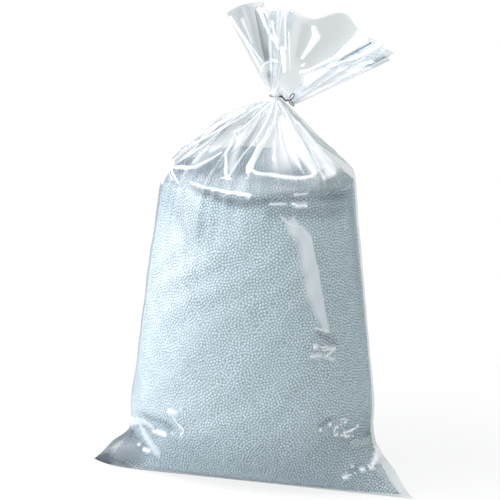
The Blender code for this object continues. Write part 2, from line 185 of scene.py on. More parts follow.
# Spread of the beads' sizes and of their colour
SMALLEST_BEAD = 0.86
LARGEST_BEAD = 1.04
DARK_TONE = 0.93
LIGHT_TONE = 1.06

# Mesh density of the film and of the surface that carries the beads
FILM_COLUMNS = 360
BODY_ROW_STEP = 0.0060
FOLD_ROW_STEP = 0.0025
FILL_COLUMNS = 144
FILL_ROW_STEP = 0.0055
# Places and turns at which the run of the film is measured
PLACES_TRIED = 600
TURNS_TRIED = 24
# Sections between the brim of the fill and the foot of the neck, whose rings lie closer
SECTIONS_ABOVE_BRIM = 6

# Relaxation of the film, from a coarse net of threads to a fine one: the steps of the nets over
# the fine rings, and the rounds on each
RELAX_LEVELS = ((4, 160), (2, 120), (1, 70))
THREAD_FIRMNESS = 0.9
SKEW_FIRMNESS = 0.25
# Least distance of every second thread round the film, in threads, and how firmly it is kept
BEND_REACH = 1.75
BEND_FIRMNESS = 0.30
UPWARD_BEND_FIRMNESS = 0.15
# How far the film may leave its fitted place, inwards and outwards
CONE_SAG = 0.045
BEAD_PRESS = 0.0003
RELAX_PUSH_OUT = 0.0015
RELAX_POCKET = 0.004
POCKET_RISE = 0.12
FRILL_SWAY = 0.030
FRILL_PLAY = 0.002
SWAY_POWER = 0.8
# How firmly the frill is drawn back to its fitted place
FRILL_HOLD = 0.012
# Where the film stops resting on the beads, above the edge of the fill
REST_RISE = 0.003
REST_FADE = 0.020
# Rings that stay in place at the seam, and on either side of the neck
SEAM_RINGS_HELD = 3
NECK_RINGS_HELD = 2
# First folds that the relaxation starts from: the cone's pleats with the waves that shift them,
# and the waves of the frill
GATHER_PLEATS = 24
GATHER_DEPTH = 0.008
GATHER_FADE = 0.02
GATHER_SWAY = ((0.05, 3, 0.7), (0.04, 5, 2.0))
FLARE_WAVES = 7
FLARE_WAVE_DEPTH = 0.006
FLARE_WAVE_PHASE = 0.8
FLARE_WAVE_RISE = 1.5
# Share of the relaxed shift that each part of the film takes on
BODY_LOOSENESS = 0.30
CONE_LOOSENESS = 0.20
FRILL_LOOSENESS = 0.06
LOOSE_DROP = 0.010
LOOSE_FADE = 0.030
FOLD_SOFTENING = 6
# Milkiness of sharp folds, which also stands in for painted highlights on them, by the angle between
# neighbouring columns, and milkiness round the tie
FOLD_MILK_AND_HIGHLIGHT = 0.15
FOLD_BEND_LOW = 0.20
FOLD_BEND_HIGH = 0.80
NECK_MILK = 0.55
NECK_MILK_REACH = 0.022
# Smaller faces along the creases
REFINE_MARGIN = 0.0015
BODY_CUTS = 2
FOLD_CUTS = 1
# Film that still lies on the beads above the edge of the fill, and how softly that ends
BRIM_RISE = 0.026
BRIM_FADE = 0.012
# Profile of a crease's crest, and how fast its look and its clearance set in from its rim
CREST_POWER = 1.4
FOLD_STRENGTH = 1.7
PATCH_STRENGTH = 1.25
CLEAR_STRENGTH = 3

# Finish of the film: gloss, share of its scattered light that passes through, sheen at a steep
# angle where it is free and where it lies on the beads, sheen seen straight on, and the dimples
# that the beads press into it
GLOSS_COLOUR = (0.96, 0.97, 0.98, 1.0)
THROUGH_SHARE = 0.28
STEEP_POWER = 4.0
STEEP_SHEEN_FREE = 0.24
STEEP_SHEEN_ON_BEADS = 0.03
FLAT_SHEEN = 0.075
DIMPLE_SCALE = 290.0
DIMPLE_STRENGTH = 0.40
DIMPLE_DEPTH = 0.0008
# Finish of the beads and the wire, whose lighter grey part is given in shares of its length in x
BEAD_ROUGHNESS = 0.65
BEAD_SPECULAR = 0.35
WIRE_METAL = 0.85
WIRE_ROUGHNESS = 0.42
WIRE_LIGHTER_SPAN = (0.62, 0.80)
# Most layers of clear film that light is followed through
FILM_LAYERS = 32

# Camera, which stands where the photographer stood
CAMERA_AZIMUTH = math.radians(16)
CAMERA_DISTANCE = 2.0
CAMERA_HEIGHT = 0.712
CAMERA_TARGET = (-0.014, 0.0, 0.275)
CAMERA_ROLL = math.radians(0.35)
CAMERA_LENS = 123.2
SENSOR_WIDTH = 36.0

# Stage: a floor that shades to white between two distances from the bag, and the lights, each
# with its place, target, size and colour
FLOOR_SIZE = 60.0
FLOOR_DROP = 0.0005
FLOOR_COLOUR = (0.92, 0.92, 0.92, 1.0)
FLOOR_FADE = (0.25, 0.60)
FLOOR_WHITE = (0.84, 1.0)
SKY_COLOUR = (0.93, 0.98, 1.0, 1.0)
WHITE = (1.0, 1.0, 1.0, 1.0)
BAG_MIDDLE = (0.0, 0.0, 0.25)
OVER_NECK = (0.04, 0.0, 0.44)
LIGHTS = (
    ("key", (-0.96, -0.51, 0.85), BAG_MIDDLE, (1.0, 1.5), (0.93, 0.92, 1.0)),
    ("top", (-0.35, -1.15, 2.00), BAG_MIDDLE, (1.4, 1.0), (0.98, 0.99, 1.0)),
    ("fill", (1.3, -1.0, 0.6), BAG_MIDDLE, (0.5, 1.0), (0.95, 1.0, 0.97)),
    ("neck", (0.40, -0.35, 0.80), OVER_NECK, (0.3, 0.3), (1.0, 1.0, 1.0)),
)

# Creases pressed into the film, in millimetres, each along a route of x and z on its side of the
# bag. Start and end are its reach to either side at its two ends, and lean widens it on one side:
# to the right of a route that runs down, or above one that runs to the right. Height is how far
# its crest stands out, and clear how far it holds the film off the beads. Milk and painted light,
# where positive, is the share of light that its whitened film scatters, which is partly a painted
# highlight along the crease; where negative, it is how dark the painted shade over its film is.
# Columns: start, end, lean, height, milk and painted light, clear, and the points of the route.
Crease = namedtuple("Crease", "front start end lean height milk clear route")
FRONT_CREASES = (
    # Zigzag left of the middle, from the neck down to the beads
    (1.6, 1.8, 0, 1.6, 0.98, 0, (15, 457), (-14, 426), (-26, 421), (-21, 413)),
    (1.8, 2.2, 0, 1.6, 0.98, 0, (-21, 413), (-26, 400), (-20, 376)),
    (4, 8.5, 0, 0, 0.55, 0, (-16, 416), (-17, 386)),
    (1.2, 2.4, 0, 1, 0.6, 0, (3, 415), (-8, 399), (-17, 377)),
    (1.2, 1.6, 0, 1, 0.7, 0, (-26, 375), (-14, 375)),
    # Painted shade over a facet, and a thin ray, between the zigzag and the tongue
    (2.5, 7.5, 0, 0, -0.4, 0, (10, 441), (-8, 407)),
    (1, 2, 0, 1.2, 0.85, 0, (17, 447), (8, 427), (3, 415)),
    # Tongue in front: its left band, its bottom, its right edge and its cloudy middle, partly painted
    # highlight
    (1.2, 6.6, 0.2, 2.2, 1, 0, (22, 449), (17, 421), (5, 388)),
    (2.4, 2.4, 0.4, 1.4, 0.95, 0, (5, 388), (16, 382), (41, 379), (64, 376), (75, 378), (81, 384)),
    (1.2, 3.6, 0, 1.8, 1, 0, (28, 449), (51, 417), (79, 383)),
    (0.8, 3.6, 0, 1, 0.85, 0, (24, 428), (30, 397)),
    (6, 37, 0, 0, 0.82, 0, (27, 438), (43, 409)),
    # Bands at the right of the tongue, whose whiteness is partly painted highlight, the broad one
    # rounded off above the beads
    (1.2, 1.8, 0, 1.2, 0.9, 0, (31, 447), (52, 419), (66, 402)),
    (2.4, 8.2, 0, 2, 1, 0, (46, 432), (55, 423), (72, 402), (91, 380)),
    (14, 34, 0, 0, 0.96, 0, (43, 435), (60, 418), (86, 401)),
    # Cloudy film at the foot of the cone's left
    (6, 14, 0, 0, 0.35, 0, (-20, 425), (-60, 392)),
    # Long straight folds of the left side, two of them dark with painted shade
    (1.2, 1, 0, 0, -0.55, 0, (-98, 394), (-76, 406), (-45, 422), (10, 456)),
    (1.4, 1.2, 0, 0, -0.4, 0, (-85, 389), (-40, 413), (6, 446)),
    (5.5, 2.5, 0, 0, 0.55, 0, (-95, 401), (-53, 426), (-20, 444)),
    (2, 1.2, 0, 0.8, 0.55, 0, (-80, 402), (-36, 427), (8, 455)),
    # Fold along the left shoulder, lines at its left end, and small curved ones beside them
    (1.6, 3, 0, 1.4, 0.9, 0, (-96, 378), (-62, 383)),
    (3, 1, 0, 1.4, 0.9, 0, (-62, 383), (-46, 392), (-36, 399)),
    (1.6, 1.4, 0, 1.2, 0.85, 0, (-104, 381), (-94, 372), (-80, 365)),
    (1.2, 1.2, 0, 1, 0.6, 0, (-104, 375), (-92, 366)),
    # Long curved highlight over the edge of the beads, with the shade under it and beside it
    (1.4, 2.6, 0.3, 1.6, 1, 0, (-64, 367), (-42, 364), (-15, 361), (13, 359)),
    (4, 9, 0, 0, -0.66, 0, (-59, 361), (-30, 356), (-14, 352), (1, 351)),
    (9, 11, 0, 0, -0.52, 0, (1, 351), (26, 354), (52, 358), (83, 360), (105, 355)),
    (15, 12, 0, 0, -0.26, 0, (40, 341), (70, 342), (104, 338)),
    # Long tuck down the right side, its notch of painted shade and the small creases at its two ends
    (1, 3, 0, 1, 0.55, 1, (47, 337), (56, 329), (67, 324)),
    (11, 11, -0.85, 1.4, 0.5, 1, (70, 325), (80, 313), (84, 293), (86, 281), (89, 271), (93, 246)),
    (11, 4.5, -0.8, 1.4, 0.5, 1, (93, 246), (97, 226), (101, 206)),
    (1.2, 1.2, 0, 0, -0.8, 0, (74, 267), (85, 271)),
    (2.4, 2, 0, 0.8, 0.6, 1, (89, 207), (96, 204), (102, 201)),
    (1.8, 2.2, 0, 0.8, 0.55, 1, (36, 350), (52, 350)),
    (2.2, 2.6, 0, 1, 0.8, 1, (60, 350), (74, 347)),
    (3, 2, 0, 0.6, 0.35, 1, (62, 360), (74, 361)),
    # Small creases half way down the right side
    (1.6, 1, 0, 1.2, 0.95, 1, (88, 185), (107, 182), (116, 184)),
    (1.4, 1.8, 0, 1, 0.75, 1, (97, 181), (108, 180), (103, 175), (100, 173)),
    (2.4, 1.8, 0, 1, 0.6, 1, (85, 175), (99, 173), (109, 168)),
    (6, 6, 0, 0, -0.3, 0, (93, 200), (107, 188)),
    # Wrinkles above the left ear
    (3, 1, 0, 1.4, 1, 1, (-110, 62), (-96, 64), (-70, 68)),
    (1, 1.2, 0, 1.2, 0.95, 1, (-70, 68), (-65, 72), (-66, 76), (-73, 82), (-78, 88)),
    (4, 4, 0, 0, 0.8, 0.3, (-84, 96), (-67, 99)),
    (7.5, 6, 0, 1, 0.4, 1, (-156, 58), (-128, 70), (-112, 68)),
    (1.6, 1.6, 0, 0, -0.55, 0, (-150, 54), (-118, 68)),
    (5, 5, 0, 0, -0.45, 0, (-126, 79), (-106, 80), (-82, 76)),
    (1.4, 1.2, 0, 1.2, 0.95, 1, (-137, 38), (-115, 32)),
    (5, 3, 0, 0, -0.6, 0, (-148, 47), (-117, 35)),
    (7, 11, 0, 0, 0.4, 0.4, (-132, 60), (-108, 36)),
    # Smooth film of the left ear, with painted shade along its edges and along the bottom edge beside it
    (13, 18, 0, 0, 0.12, 0, (-166, 18), (-138, 28)),
    (26, 34, 0, 0, -0.66, 0, (-172, 18), (-148, 30)),
    (10, 6, 0, 0, -0.98, 0, (-188, 14), (-178, 28), (-151, 48)),
    (6, 4, 0, 0, -0.95, 0, (-186, 8), (-150, 4)),
    # Wrinkles above the right ear
    (1, 1.2, 0, 1.2, 0.9, 1, (95, 85), (104, 90), (113, 96), (119, 96), (124, 94)),
    (5, 3, 0, 0, -0.45, 0, (97, 91), (108, 99), (122, 100)),
    (1.2, 1.2, 0, 1.2, 0.9, 1, (124, 94), (118, 90), (111, 86), (110, 81)),
    (2, 2.6, 0, 1.4, 1, 1, (120, 78), (127, 80)),
    (2.6, 1, 0, 1.4, 1, 1, (127, 80), (133, 83)),
    (1.4, 1.8, 0, 1.2, 0.9, 1, (110, 78), (119, 75), (128, 72)),
    (1.6, 1.6, 0, 0, -0.6, 0, (130, 72), (137, 72), (145, 68)),
    (5, 4, 0, 0, 0.35, 0.8, (128, 62), (142, 62)),
    # Creases of the right ear, and its cloudy tip
    (2.4, 5, 0, 1.6, 1, 1, (153, 52), (155, 46)),
    (5, 2.6, 0, 1.6, 1, 1, (155, 46), (154, 41), (150, 35)),
    (1, 1.4, 0, 1, 0.6, 1, (121, 25), (127, 34), (133, 39)),
    (1.4, 1.8, 0, 1.2, 0.95, 1, (121, 25), (132, 29), (143, 34)),
    (3, 6, 0, 0, -0.4, 0, (127, 29), (140, 40)),
    (14, 8, 0, 0, 0.2, 0.2, (163, 35), (188, 10)),
    # Crease down the left side, where the tube was pressed flat, drawn as a dark line of painted shade
    # with soft painted shade round it
    (3.2, 3.2, 0, 0, -0.6, 0, (-116, 355), (-128, 288), (-141, 200), (-152, 100)),
    (24, 28, 0, 0, -0.24, 0, (-116, 345), (-128, 288), (-141, 200), (-152, 100)),
    # Shade along the bottom, at the upper left and over the left of the cone
    (56, 60, 0, 0, -0.17, 0, (-150, 55), (-60, 30), (60, 30), (150, 55)),
    (30, 30, 0, 0, -0.18, 0, (-95, 345), (-60, 325)),
    (20, 14, 0, 0, -0.2, 0, (-80, 396), (-14, 436)),
    # Shade over the left of the heap
    (20, 16, 0, 0, -0.3, 0, (-100, 384), (-50, 388), (0, 392)),
    # Empty film over the left corner of the beads, and painted shade along the edge of the beads under
    # it
    (8, 6, 0, 0, 0.7, 0, (-102, 380), (-112, 360)),
    (1.6, 2, 0, 0, -0.65, 0, (-117, 345), (-114, 353), (-104, 357)),
    # Crease down the right side, drawn as a line of painted shade
    (4.5, 4.5, 0, 0, -0.3, 0, (113, 350), (122, 271), (131, 197), (140, 127)),
    # Fold that hangs over the front of the tie, and the shade around it
    (6, 7, 0, 4.8, 0.6, 0, (12, 466), (19, 464)),
    (10, 6, 0, 0, -0.38, 0, (10, 484), (14, 472), (24, 468)),
    # Left panel of the frill, partly greyed with painted shade
    (3, 2, 0, 1, 0.75, 0, (-38, 551), (-19, 525), (0, 491)),
    (1, 1, 0, 1, 0.7, 0, (-33, 545), (3, 502)),
    (5, 2, 0, 0, 0.35, 0, (-21, 550), (-10, 523)),
    (12, 7, 0, 0, -0.3, 0, (-14, 556), (0, 520)),
    (30, 11, 0, 0, -0.4, 0, (-24, 562), (4, 508)),
    (1, 1, 0, 0.8, 0.6, 0, (-2, 488), (4, 499), (14, 504), (24, 503)),
    # Folded layers right of it
    (3.2, 1.8, 0, 1.6, 0.98, 0, (3, 563), (12, 539), (24, 519)),
    (3, 1.4, 0, 1.4, 0.9, 0, (9, 564), (16, 548), (23, 524)),
    (1.4, 1.4, 0, 1.4, 1, 0, (35, 564), (34, 519)),
    (4.6, 2.4, 0, 1.4, 0.98, 0, (30, 518), (31, 492)),
    (1.6, 1, 0, 1, 0.55, 0, (39, 538), (38, 493)),
    # Bright fold in the smooth sheet
    (3.6, 6.2, 0, 1.6, 1, 0, (69, 545), (71, 535)),
    (6.2, 2.4, 0, 1.6, 1, 0, (71, 535), (64, 524), (53, 509)),
    (10, 6, 0, 0, -0.25, 0, (60, 545), (48, 512)),
    (2, 2, 0, 1, 0.95, 0, (52, 500), (54, 501)),
    # Long bands and wedges of the right corner
    (3, 1.8, 0, 2, 1, 0, (129, 531), (92, 511), (59, 494), (50, 492)),
    (1.4, 1, 0, 0, -0.6, 0, (132, 529), (96, 507)),
    (6.2, 1.2, 0, 1.8, 1, 0, (144, 526), (115, 512), (85, 500)),
    (1, 1.4, 0, 1.4, 0.9, 0, (137, 507), (96, 497)),
    (4, 1.4, 0, 1.2, 0.9, 0, (121, 496), (97, 496)),
    (6, 6, 0, 0, -0.45, 0, (149, 511), (133, 502)),
    (16, 14, 0, 0, 0.6, 0, (62, 484), (116, 497)),
    (11, 9, 0, 0, 0.7, 0, (50, 462), (98, 480)),
    # Painted shade that greys the smooth sheet, which lies over the folded back of the frill
    (34, 18, 0, 0, -0.2, 0, (88, 552), (56, 510)),
)
BACK_CREASES = (
    # The crease down the left side, seen from behind, with its painted shade
    (3.2, 3.2, 0, 0, -0.5, 0, (-116, 355), (-128, 288), (-141, 200), (-152, 100)),
    (24, 28, 0, 0, -0.24, 0, (-116, 345), (-128, 288), (-141, 200), (-152, 100)),
    # Folds of the back: three below the tie, and small ones half way down and above the ears
    (1.4, 2, 0, 1.4, 0.85, 0, (12, 455), (-18, 418), (-34, 392)),
    (1.2, 3.4, 0, 1.6, 0.9, 0, (22, 452), (42, 424), (62, 398)),
    (1, 2.2, 0, 1.2, 0.8, 0, (18, 450), (14, 405)),
    (6, 3, -0.8, 1.2, 0.5, 1, (-66, 300), (-74, 252), (-82, 205)),
    (1.6, 1, 0, 1.2, 0.8, 1, (74, 150), (92, 146), (100, 149)),
    (1.4, 1.4, 0, 1.2, 0.8, 1, (100, 82), (116, 90), (128, 88)),
    (2.4, 1, 0, 1.2, 0.8, 1, (-122, 74), (-104, 81), (-88, 78)),
)
# Painted sheen over the left of the front: milk that stands in for a broad reflection of the light on
# the left, with the film's dimples smoothed under it
PAINTED_SHEEN = 0.17
PAINTED_SHEEN_RIGHT = 0.110
PAINTED_SHEEN_FADE = 0.270
PAINTED_SHEEN_LOW = 0.060
PAINTED_SHEEN_HIGH = 0.330
PAINTED_SHEEN_BLUR = 0.090
PAINTED_SHEEN_SMOOTHING = 0.60
# Painted shade over the empty tip of the left ear
TIP_PAINTED_SHADE = 1.00
TIP_REACH = 0.030
TIP_STRENGTH = 2.5
# Painted shade in a dark line along the bottom edge of the front, which fades towards the right
EDGE_PAINTED_SHADE = 0.65
EDGE_HEIGHT = 0.006
EDGE_RIGHT = 0.05
EDGE_FADE = 0.15

# Folds of the frill round its mouth, from the right corner along the back and home by the front.
# Columns: the turn of the tube, the place in the fan from 0 at the right edge to 1 at the left,
# the reach in frill lengths at that place, and the share of the frill's depth.
MOUTH_FOLDS = (
    (0.000, 0.000, 1.00, 0.00), (0.030, 0.125, 1.06, 0.60), (0.055, 0.020, 1.03, 0.20),
    (0.090, 0.150, 1.07, 0.75), (0.110, 0.085, 1.05, 0.35), (0.140, 0.240, 1.09, 0.90),
    (0.162, 0.319, 1.18, 1.00), (0.175, 0.353, 1.16, 1.00), (0.195, 0.434, 0.98, 0.95),
    (0.220, 0.505, 0.93, 0.90), (0.245, 0.575, 0.93, 0.85), (0.265, 0.660, 1.00, 0.80),
    (0.290, 0.565, 0.97, 0.35), (0.320, 0.700, 1.00, 0.80), (0.345, 0.590, 0.97, 0.30),
    (0.375, 0.740, 1.00, 0.75), (0.400, 0.640, 0.97, 0.25), (0.430, 0.800, 1.00, 0.80),
    (0.465, 0.900, 1.03, 0.60), (0.500, 1.000, 1.00, 0.00), (0.530, 0.860, 1.06, -0.60),
    (0.560, 0.690, 1.10, -0.95), (0.590, 0.810, 0.98, -0.30), (0.620, 0.680, 1.02, -0.80),
    (0.645, 0.765, 0.97, -0.25), (0.670, 0.630, 1.00, -0.75), (0.695, 0.710, 0.98, -0.25),
    (0.722, 0.595, 1.06, -0.90), (0.733, 0.555, 1.03, -0.95), (0.755, 0.487, 1.00, -1.00),
    (0.780, 0.395, 1.06, -1.00), (0.800, 0.327, 1.27, -1.00), (0.812, 0.290, 1.29, -1.00),
    (0.832, 0.210, 1.20, -0.95), (0.852, 0.120, 1.16, -0.90), (0.880, 0.225, 1.10, -0.30),
    (0.907, 0.075, 1.18, -0.75), (0.933, 0.170, 1.10, -0.25), (0.960, 0.020, 1.14, -0.75),
    (0.980, 0.100, 1.08, -0.25), (1.000, 0.000, 1.00, 0.00),
)
# Softening of those folds, in turns of the tube
FOLD_BLUR = (-0.005, -0.0025, 0.0, 0.0025, 0.005)

# A cross-section of the film: the places of its two side creases, its front and its back, how
# round it is, how its height runs between its sides and faces, and the depth of its pleats
Section = namedtuple(
    "Section",
    "left_x left_z right_x right_z front_y front_z back_y back_z side_y middle_x point lift pleat",
)

# What properties of one kind share
COLOUR = {"subtype": "COLOR", "size": 3, "min": 0.0, "max": 1.0}
SHARE = {"subtype": "FACTOR", "min": 0.0, "max": 1.0}
LENGTH = {"unit": "LENGTH", "precision": 4, "min": 0.001, "max": 0.01}
POWER = {"unit": "POWER", "min": 0.0}


class FilmSettings(bpy.types.PropertyGroup):
    """Colours and gloss of the clear film, with the colours of its painted highlights and painted shade.
    """

    tint: FloatVectorProperty(
        name="Tint", description="Light that one layer of film lets through",
        default=(0.848, 0.873, 0.877), **COLOUR)
    # Milk and painted light: colour of the whitened film, and of the painted highlights and painted
    # sheen on it
    milk: FloatVectorProperty(
        name="Milk", description="Colour of the light that hazy or creased film scatters",
        default=(0.97, 0.98, 0.99), **COLOUR)
    # Painted shade: light that the film lets through where shade is painted on it
    dusk: FloatVectorProperty(
        name="Dusk", description="Light that folded, dark film lets through",
        default=(0.16, 0.21, 0.24), **COLOUR)
    haze: FloatProperty(
        name="Haze", description="Share of light that the clear film scatters",
        default=0.045, **SHARE)
    roughness: FloatProperty(
        name="Roughness", description="Roughness of the film's gloss where it is free",
        default=0.09, **SHARE)
    dimpled: FloatProperty(
        name="Dimpled", description="Roughness of the film's gloss where it lies on the beads",
        default=0.44, **SHARE)


class BeadSettings(bpy.types.PropertyGroup):
    """Size, spacing and colour of the beads."""

    diameter: FloatProperty(
        name="Diameter", description="Diameter of a bead", default=0.0035, **LENGTH)
    pitch: FloatProperty(
        name="Pitch", description="Distance between neighbouring beads", default=0.0034, **LENGTH)
    colour: FloatVectorProperty(
        name="Colour", description="Colour of the beads", default=(0.69, 0.80, 0.84), **COLOUR)
    seed: IntProperty(
        name="Seed", description="Seed of the beads' places", default=7, min=0)


class TieSettings(bpy.types.PropertyGroup):
    """Colours of the wire tie."""

    dark: FloatVectorProperty(
        name="Dark", description="Annealed steel close to the neck",
        default=(0.012, 0.012, 0.014), **COLOUR)
    # Lighter grey of the steel towards the two eyes
    bright: FloatVectorProperty(
        name="Bright", description="Rubbed steel of the two eyes",
        default=(0.07, 0.06, 0.06), **COLOUR)


class StageSettings(bpy.types.PropertyGroup):
    """Strength of the lights."""

    key: FloatProperty(
        name="Key light", description="Power of the large light on the left", default=26.0, **POWER)
    top: FloatProperty(
        name="Top light", description="Power of the light above the camera", default=11.0, **POWER)
    neck: FloatProperty(
        name="Neck light", description="Power of the small light over the neck",
        default=1.0, **POWER)
    fill: FloatProperty(
        name="Fill light", description="Power of the light on the right", default=0.6, **POWER)
    sky: FloatProperty(
        name="Sky", description="Strength of the light from all round", default=0.52, min=0.0)


def mix(low, high, share):
    """Value at a share of the way from low to high."""
    return low + (high - low) * share


def ease(value):
    """Smooth step from 0 to 1, for a number or an array."""
    value = np.clip(value, 0.0, 1.0)
    return value * value * (3.0 - 2.0 * value)


def body_sections():
    """Cross-sections of the filled film from the bottom seam to the neck, in order."""
    seam = LAY_FLAT_WIDTH / 2
    pinch = PINCH_WIDTH / 2
    belly = BELLY_WIDTH / 2
    waist = WAIST_WIDTH / 2
    chest = CHEST_WIDTH / 2
    shoulder = SHOULDER_WIDTH / 2
    depth = BODY_DEPTH / 2
    lip = SEAM_THICKNESS / 2
    heel = FOOT_DEPTH - SEAM_FORWARD
    lean = -BODY_LEAN
    neck_foot = NECK_HEIGHT - NECK_LENGTH / 2
    rise = neck_foot - SHOULDER_HEIGHT
    middle = NECK_OFFSET
    back = SHOULDER_HEIGHT + SHOULDER_BACK_RISE
    ribs = mix(WAIST_HEIGHT, CHEST_HEIGHT, 0.5)
    brim = mix(CHEST_HEIGHT, SHOULDER_HEIGHT, BRIM_SHARE)

    def level(x_middle, half, height, front, rear, rear_height, side, point, pleat=0.0):
        """A section whose two creases and front lie at one height."""
        return Section(x_middle - half, height, x_middle + half, height, -front, height,
                       rear, rear_height, side, x_middle, point, CREASE_LIFT, pleat)

    def cone(share, left, right, centre, front, rear, pleat):
        """A section of the gathered film between the shoulders and the neck."""
        height = SHOULDER_HEIGHT + rise * share
        rear_height = mix(height, back + (neck_foot - back) * share, 1 - share)
        reach = shoulder - NECK_RADIUS
        return Section(middle - NECK_RADIUS - reach * left, height,
                       middle + NECK_RADIUS + reach * right, height,
                       -depth * front, height, depth * rear, rear_height,
                       0.0, middle * centre, 2.0, CREASE_LIFT, pleat)

    return [
        # Welded seam
        Section(-seam, LEFT_EAR_LIFT, seam, RIGHT_EAR_LIFT, -SEAM_FORWARD - lip, 0.0,
                -SEAM_FORWARD + lip, 0.0, -SEAM_FORWARD, 0.0, 1.25, 6.0, 0.0),
        # Toe just above the seam
        Section(-mix(seam, pinch, 0.20), mix(LEFT_EAR_LIFT, PINCH_HEIGHT, 0.16),
                mix(seam, pinch, 0.20), PINCH_HEIGHT * 0.19,
                -SEAM_FORWARD - TOE_FRONT, TOE_HEIGHT, -SEAM_FORWARD + TOE_BACK, 0.0,
                -SEAM_FORWARD, 0.0, 1.25, 3.5, 0.0),
        # Ears
        Section(lean * 0.4 - mix(seam, pinch, 0.60), mix(LEFT_EAR_LIFT, PINCH_HEIGHT, 0.52),
                lean * 0.4 + mix(seam, pinch, 0.55), PINCH_HEIGHT * 0.60,
                -depth * 0.78, EAR_HEIGHT, -SEAM_FORWARD + EAR_BACK, 0.0,
                -SEAM_FORWARD * 0.85, 0.0, 1.35, 2.0, 0.0),
        # Pinches above the ears
        Section(lean * 0.6 - pinch, PINCH_HEIGHT - PINCH_LEFT_DROP,
                lean * 0.6 + pinch, PINCH_HEIGHT + PINCH_RIGHT_RISE,
                -depth * 0.93, LAP_HEIGHT, heel * 0.60, 0.0,
                -SEAM_FORWARD * 0.55, lean * 0.3, 1.60, CREASE_LIFT, 0.0),
        # Hips
        Section(lean * 0.9 - mix(pinch, belly, 0.2), PINCH_HEIGHT + HIP_LEFT_RISE,
                lean * 0.9 + mix(pinch, belly, 0.6), PINCH_HEIGHT + HIP_RIGHT_RISE,
                -depth * 0.98, HIP_HEIGHT, heel, 0.0,
                -SEAM_FORWARD * 0.32, lean * 0.8, 1.90, CREASE_LIFT, 0.0),
        # Belly, waist, ribs and chest
        level(lean, belly, BELLY_HEIGHT, depth * 1.02, mix(heel, depth, 0.75), HEEL_RISE,
              -SEAM_FORWARD * 0.12, 2.15),
        level(lean, waist, WAIST_HEIGHT, depth * 1.02, depth * 0.97, WAIST_BACK_HEIGHT, 0.0, 2.25),
        level(lean * 0.9, mix(waist, chest, 0.5), ribs, depth, depth, RIBS_BACK_HEIGHT, 0.0, 2.25),
        level(lean * 0.7, chest, CHEST_HEIGHT, depth * 0.95, depth * 0.98,
              CHEST_HEIGHT - CHEST_BACK_DROP, 0.0, 2.20, CHEST_PLEAT_DEPTH),
        # Brim of the bead fill
        Section(lean * 0.4 - mix(chest, shoulder, 0.75), brim + SHOULDER_TILT * 2,
                lean * 0.4 + mix(chest, shoulder, 0.75), brim,
                -depth * 0.90, brim, depth * 0.93, brim + SHOULDER_BACK_RISE * 0.8,
                0.0, lean * 0.4, 2.15, CREASE_LIFT, BRIM_PLEAT_DEPTH),
        # Shoulders
        Section(lean * 0.2 - shoulder, SHOULDER_HEIGHT + SHOULDER_TILT,
                lean * 0.2 + shoulder, SHOULDER_HEIGHT - SHOULDER_TILT,
                -depth * 0.83, SHOULDER_HEIGHT, depth * 0.86, back,
                0.0, lean * 0.2, 2.10, CREASE_LIFT, SHOULDER_PLEAT_DEPTH),
        # Gathered cone: share of the way up, reach left and right, middle, depth, and pleats
        cone(0.22, 1.06, 0.65, 0.2, 0.71, 0.73, CONE_PLEAT_DEPTH * 0.65),
        cone(0.42, 0.92, 0.49, 0.4, 0.56, 0.58, CONE_PLEAT_DEPTH),
        cone(0.67, 0.67, 0.29, 0.7, 0.36, 0.38, CONE_PLEAT_DEPTH * 0.80),
        cone(0.87, 0.36, 0.12, 0.9, 0.18, 0.19, CONE_PLEAT_DEPTH * 0.30),
        # Foot of the neck
        Section(middle - NECK_RADIUS, neck_foot, middle + NECK_RADIUS, neck_foot,
                -NECK_RADIUS, neck_foot, NECK_RADIUS, neck_foot,
                0.0, middle, 2.00, CREASE_LIFT, FLUTE_DEPTH),
    ]


def monotone_slopes(values):
    """Slopes of a curve through evenly spaced values that never overshoots them."""
    steps = [b - a for a, b in zip(values, values[1:])]
    slopes = [steps[0]]
    for before, after in zip(steps, steps[1:]):
        if before * after <= 0:
            slopes.append(0.0)
        else:
            slopes.append(2 * before * after / (before + after))
    slopes.append(steps[-1])
    return slopes


def section_at(sections, place):
    """Section at a place between two of the listed ones, 0 being the first."""
    low = min(int(place), len(sections) - 2)
    t = place - low
    fields = []
    for values in zip(*sections):
        slopes = monotone_slopes(values)
        start, end = values[low], values[low + 1]
        fields.append(
            start * (1 + 2 * t) * (1 - t) ** 2
            + slopes[low] * t * (1 - t) ** 2
            + end * t * t * (3 - 2 * t)
            + slopes[low + 1] * t * t * (t - 1)
        )
    return Section(*fields)


def section_angle(turn):
    """Angle round the section at a turn of the tube, with pleats of unlike widths."""
    slow, quick = FOLD_SWAY
    sway = quick * np.sin(turn) * np.sin(3 * turn + FOLD_SWAY_PHASE)
    return turn + slow * np.sin(2 * turn) + sway


def swayed(turn, waves):
    """Turns of the tube shifted by waves, so that pleats come out of unlike widths."""
    shifted = turn
    for depth, number, phase in waves:
        shifted = shifted + depth * np.sin(number * turn + phase)
    return shifted


def pleat_wave(turn):
    """Height of the pleats at a turn, from -1 in a valley to 1 on a fold."""
    folds = np.array((FOLD_TURNS[-1] - 1,) + FOLD_TURNS + (FOLD_TURNS[0] + 1,))
    share = turn / math.tau
    after = np.searchsorted(folds, share, side="right")
    start, end = folds[after - 1], folds[after]
    return 1 - 2 * np.abs(np.sin(math.pi * (share - start) / (end - start)))


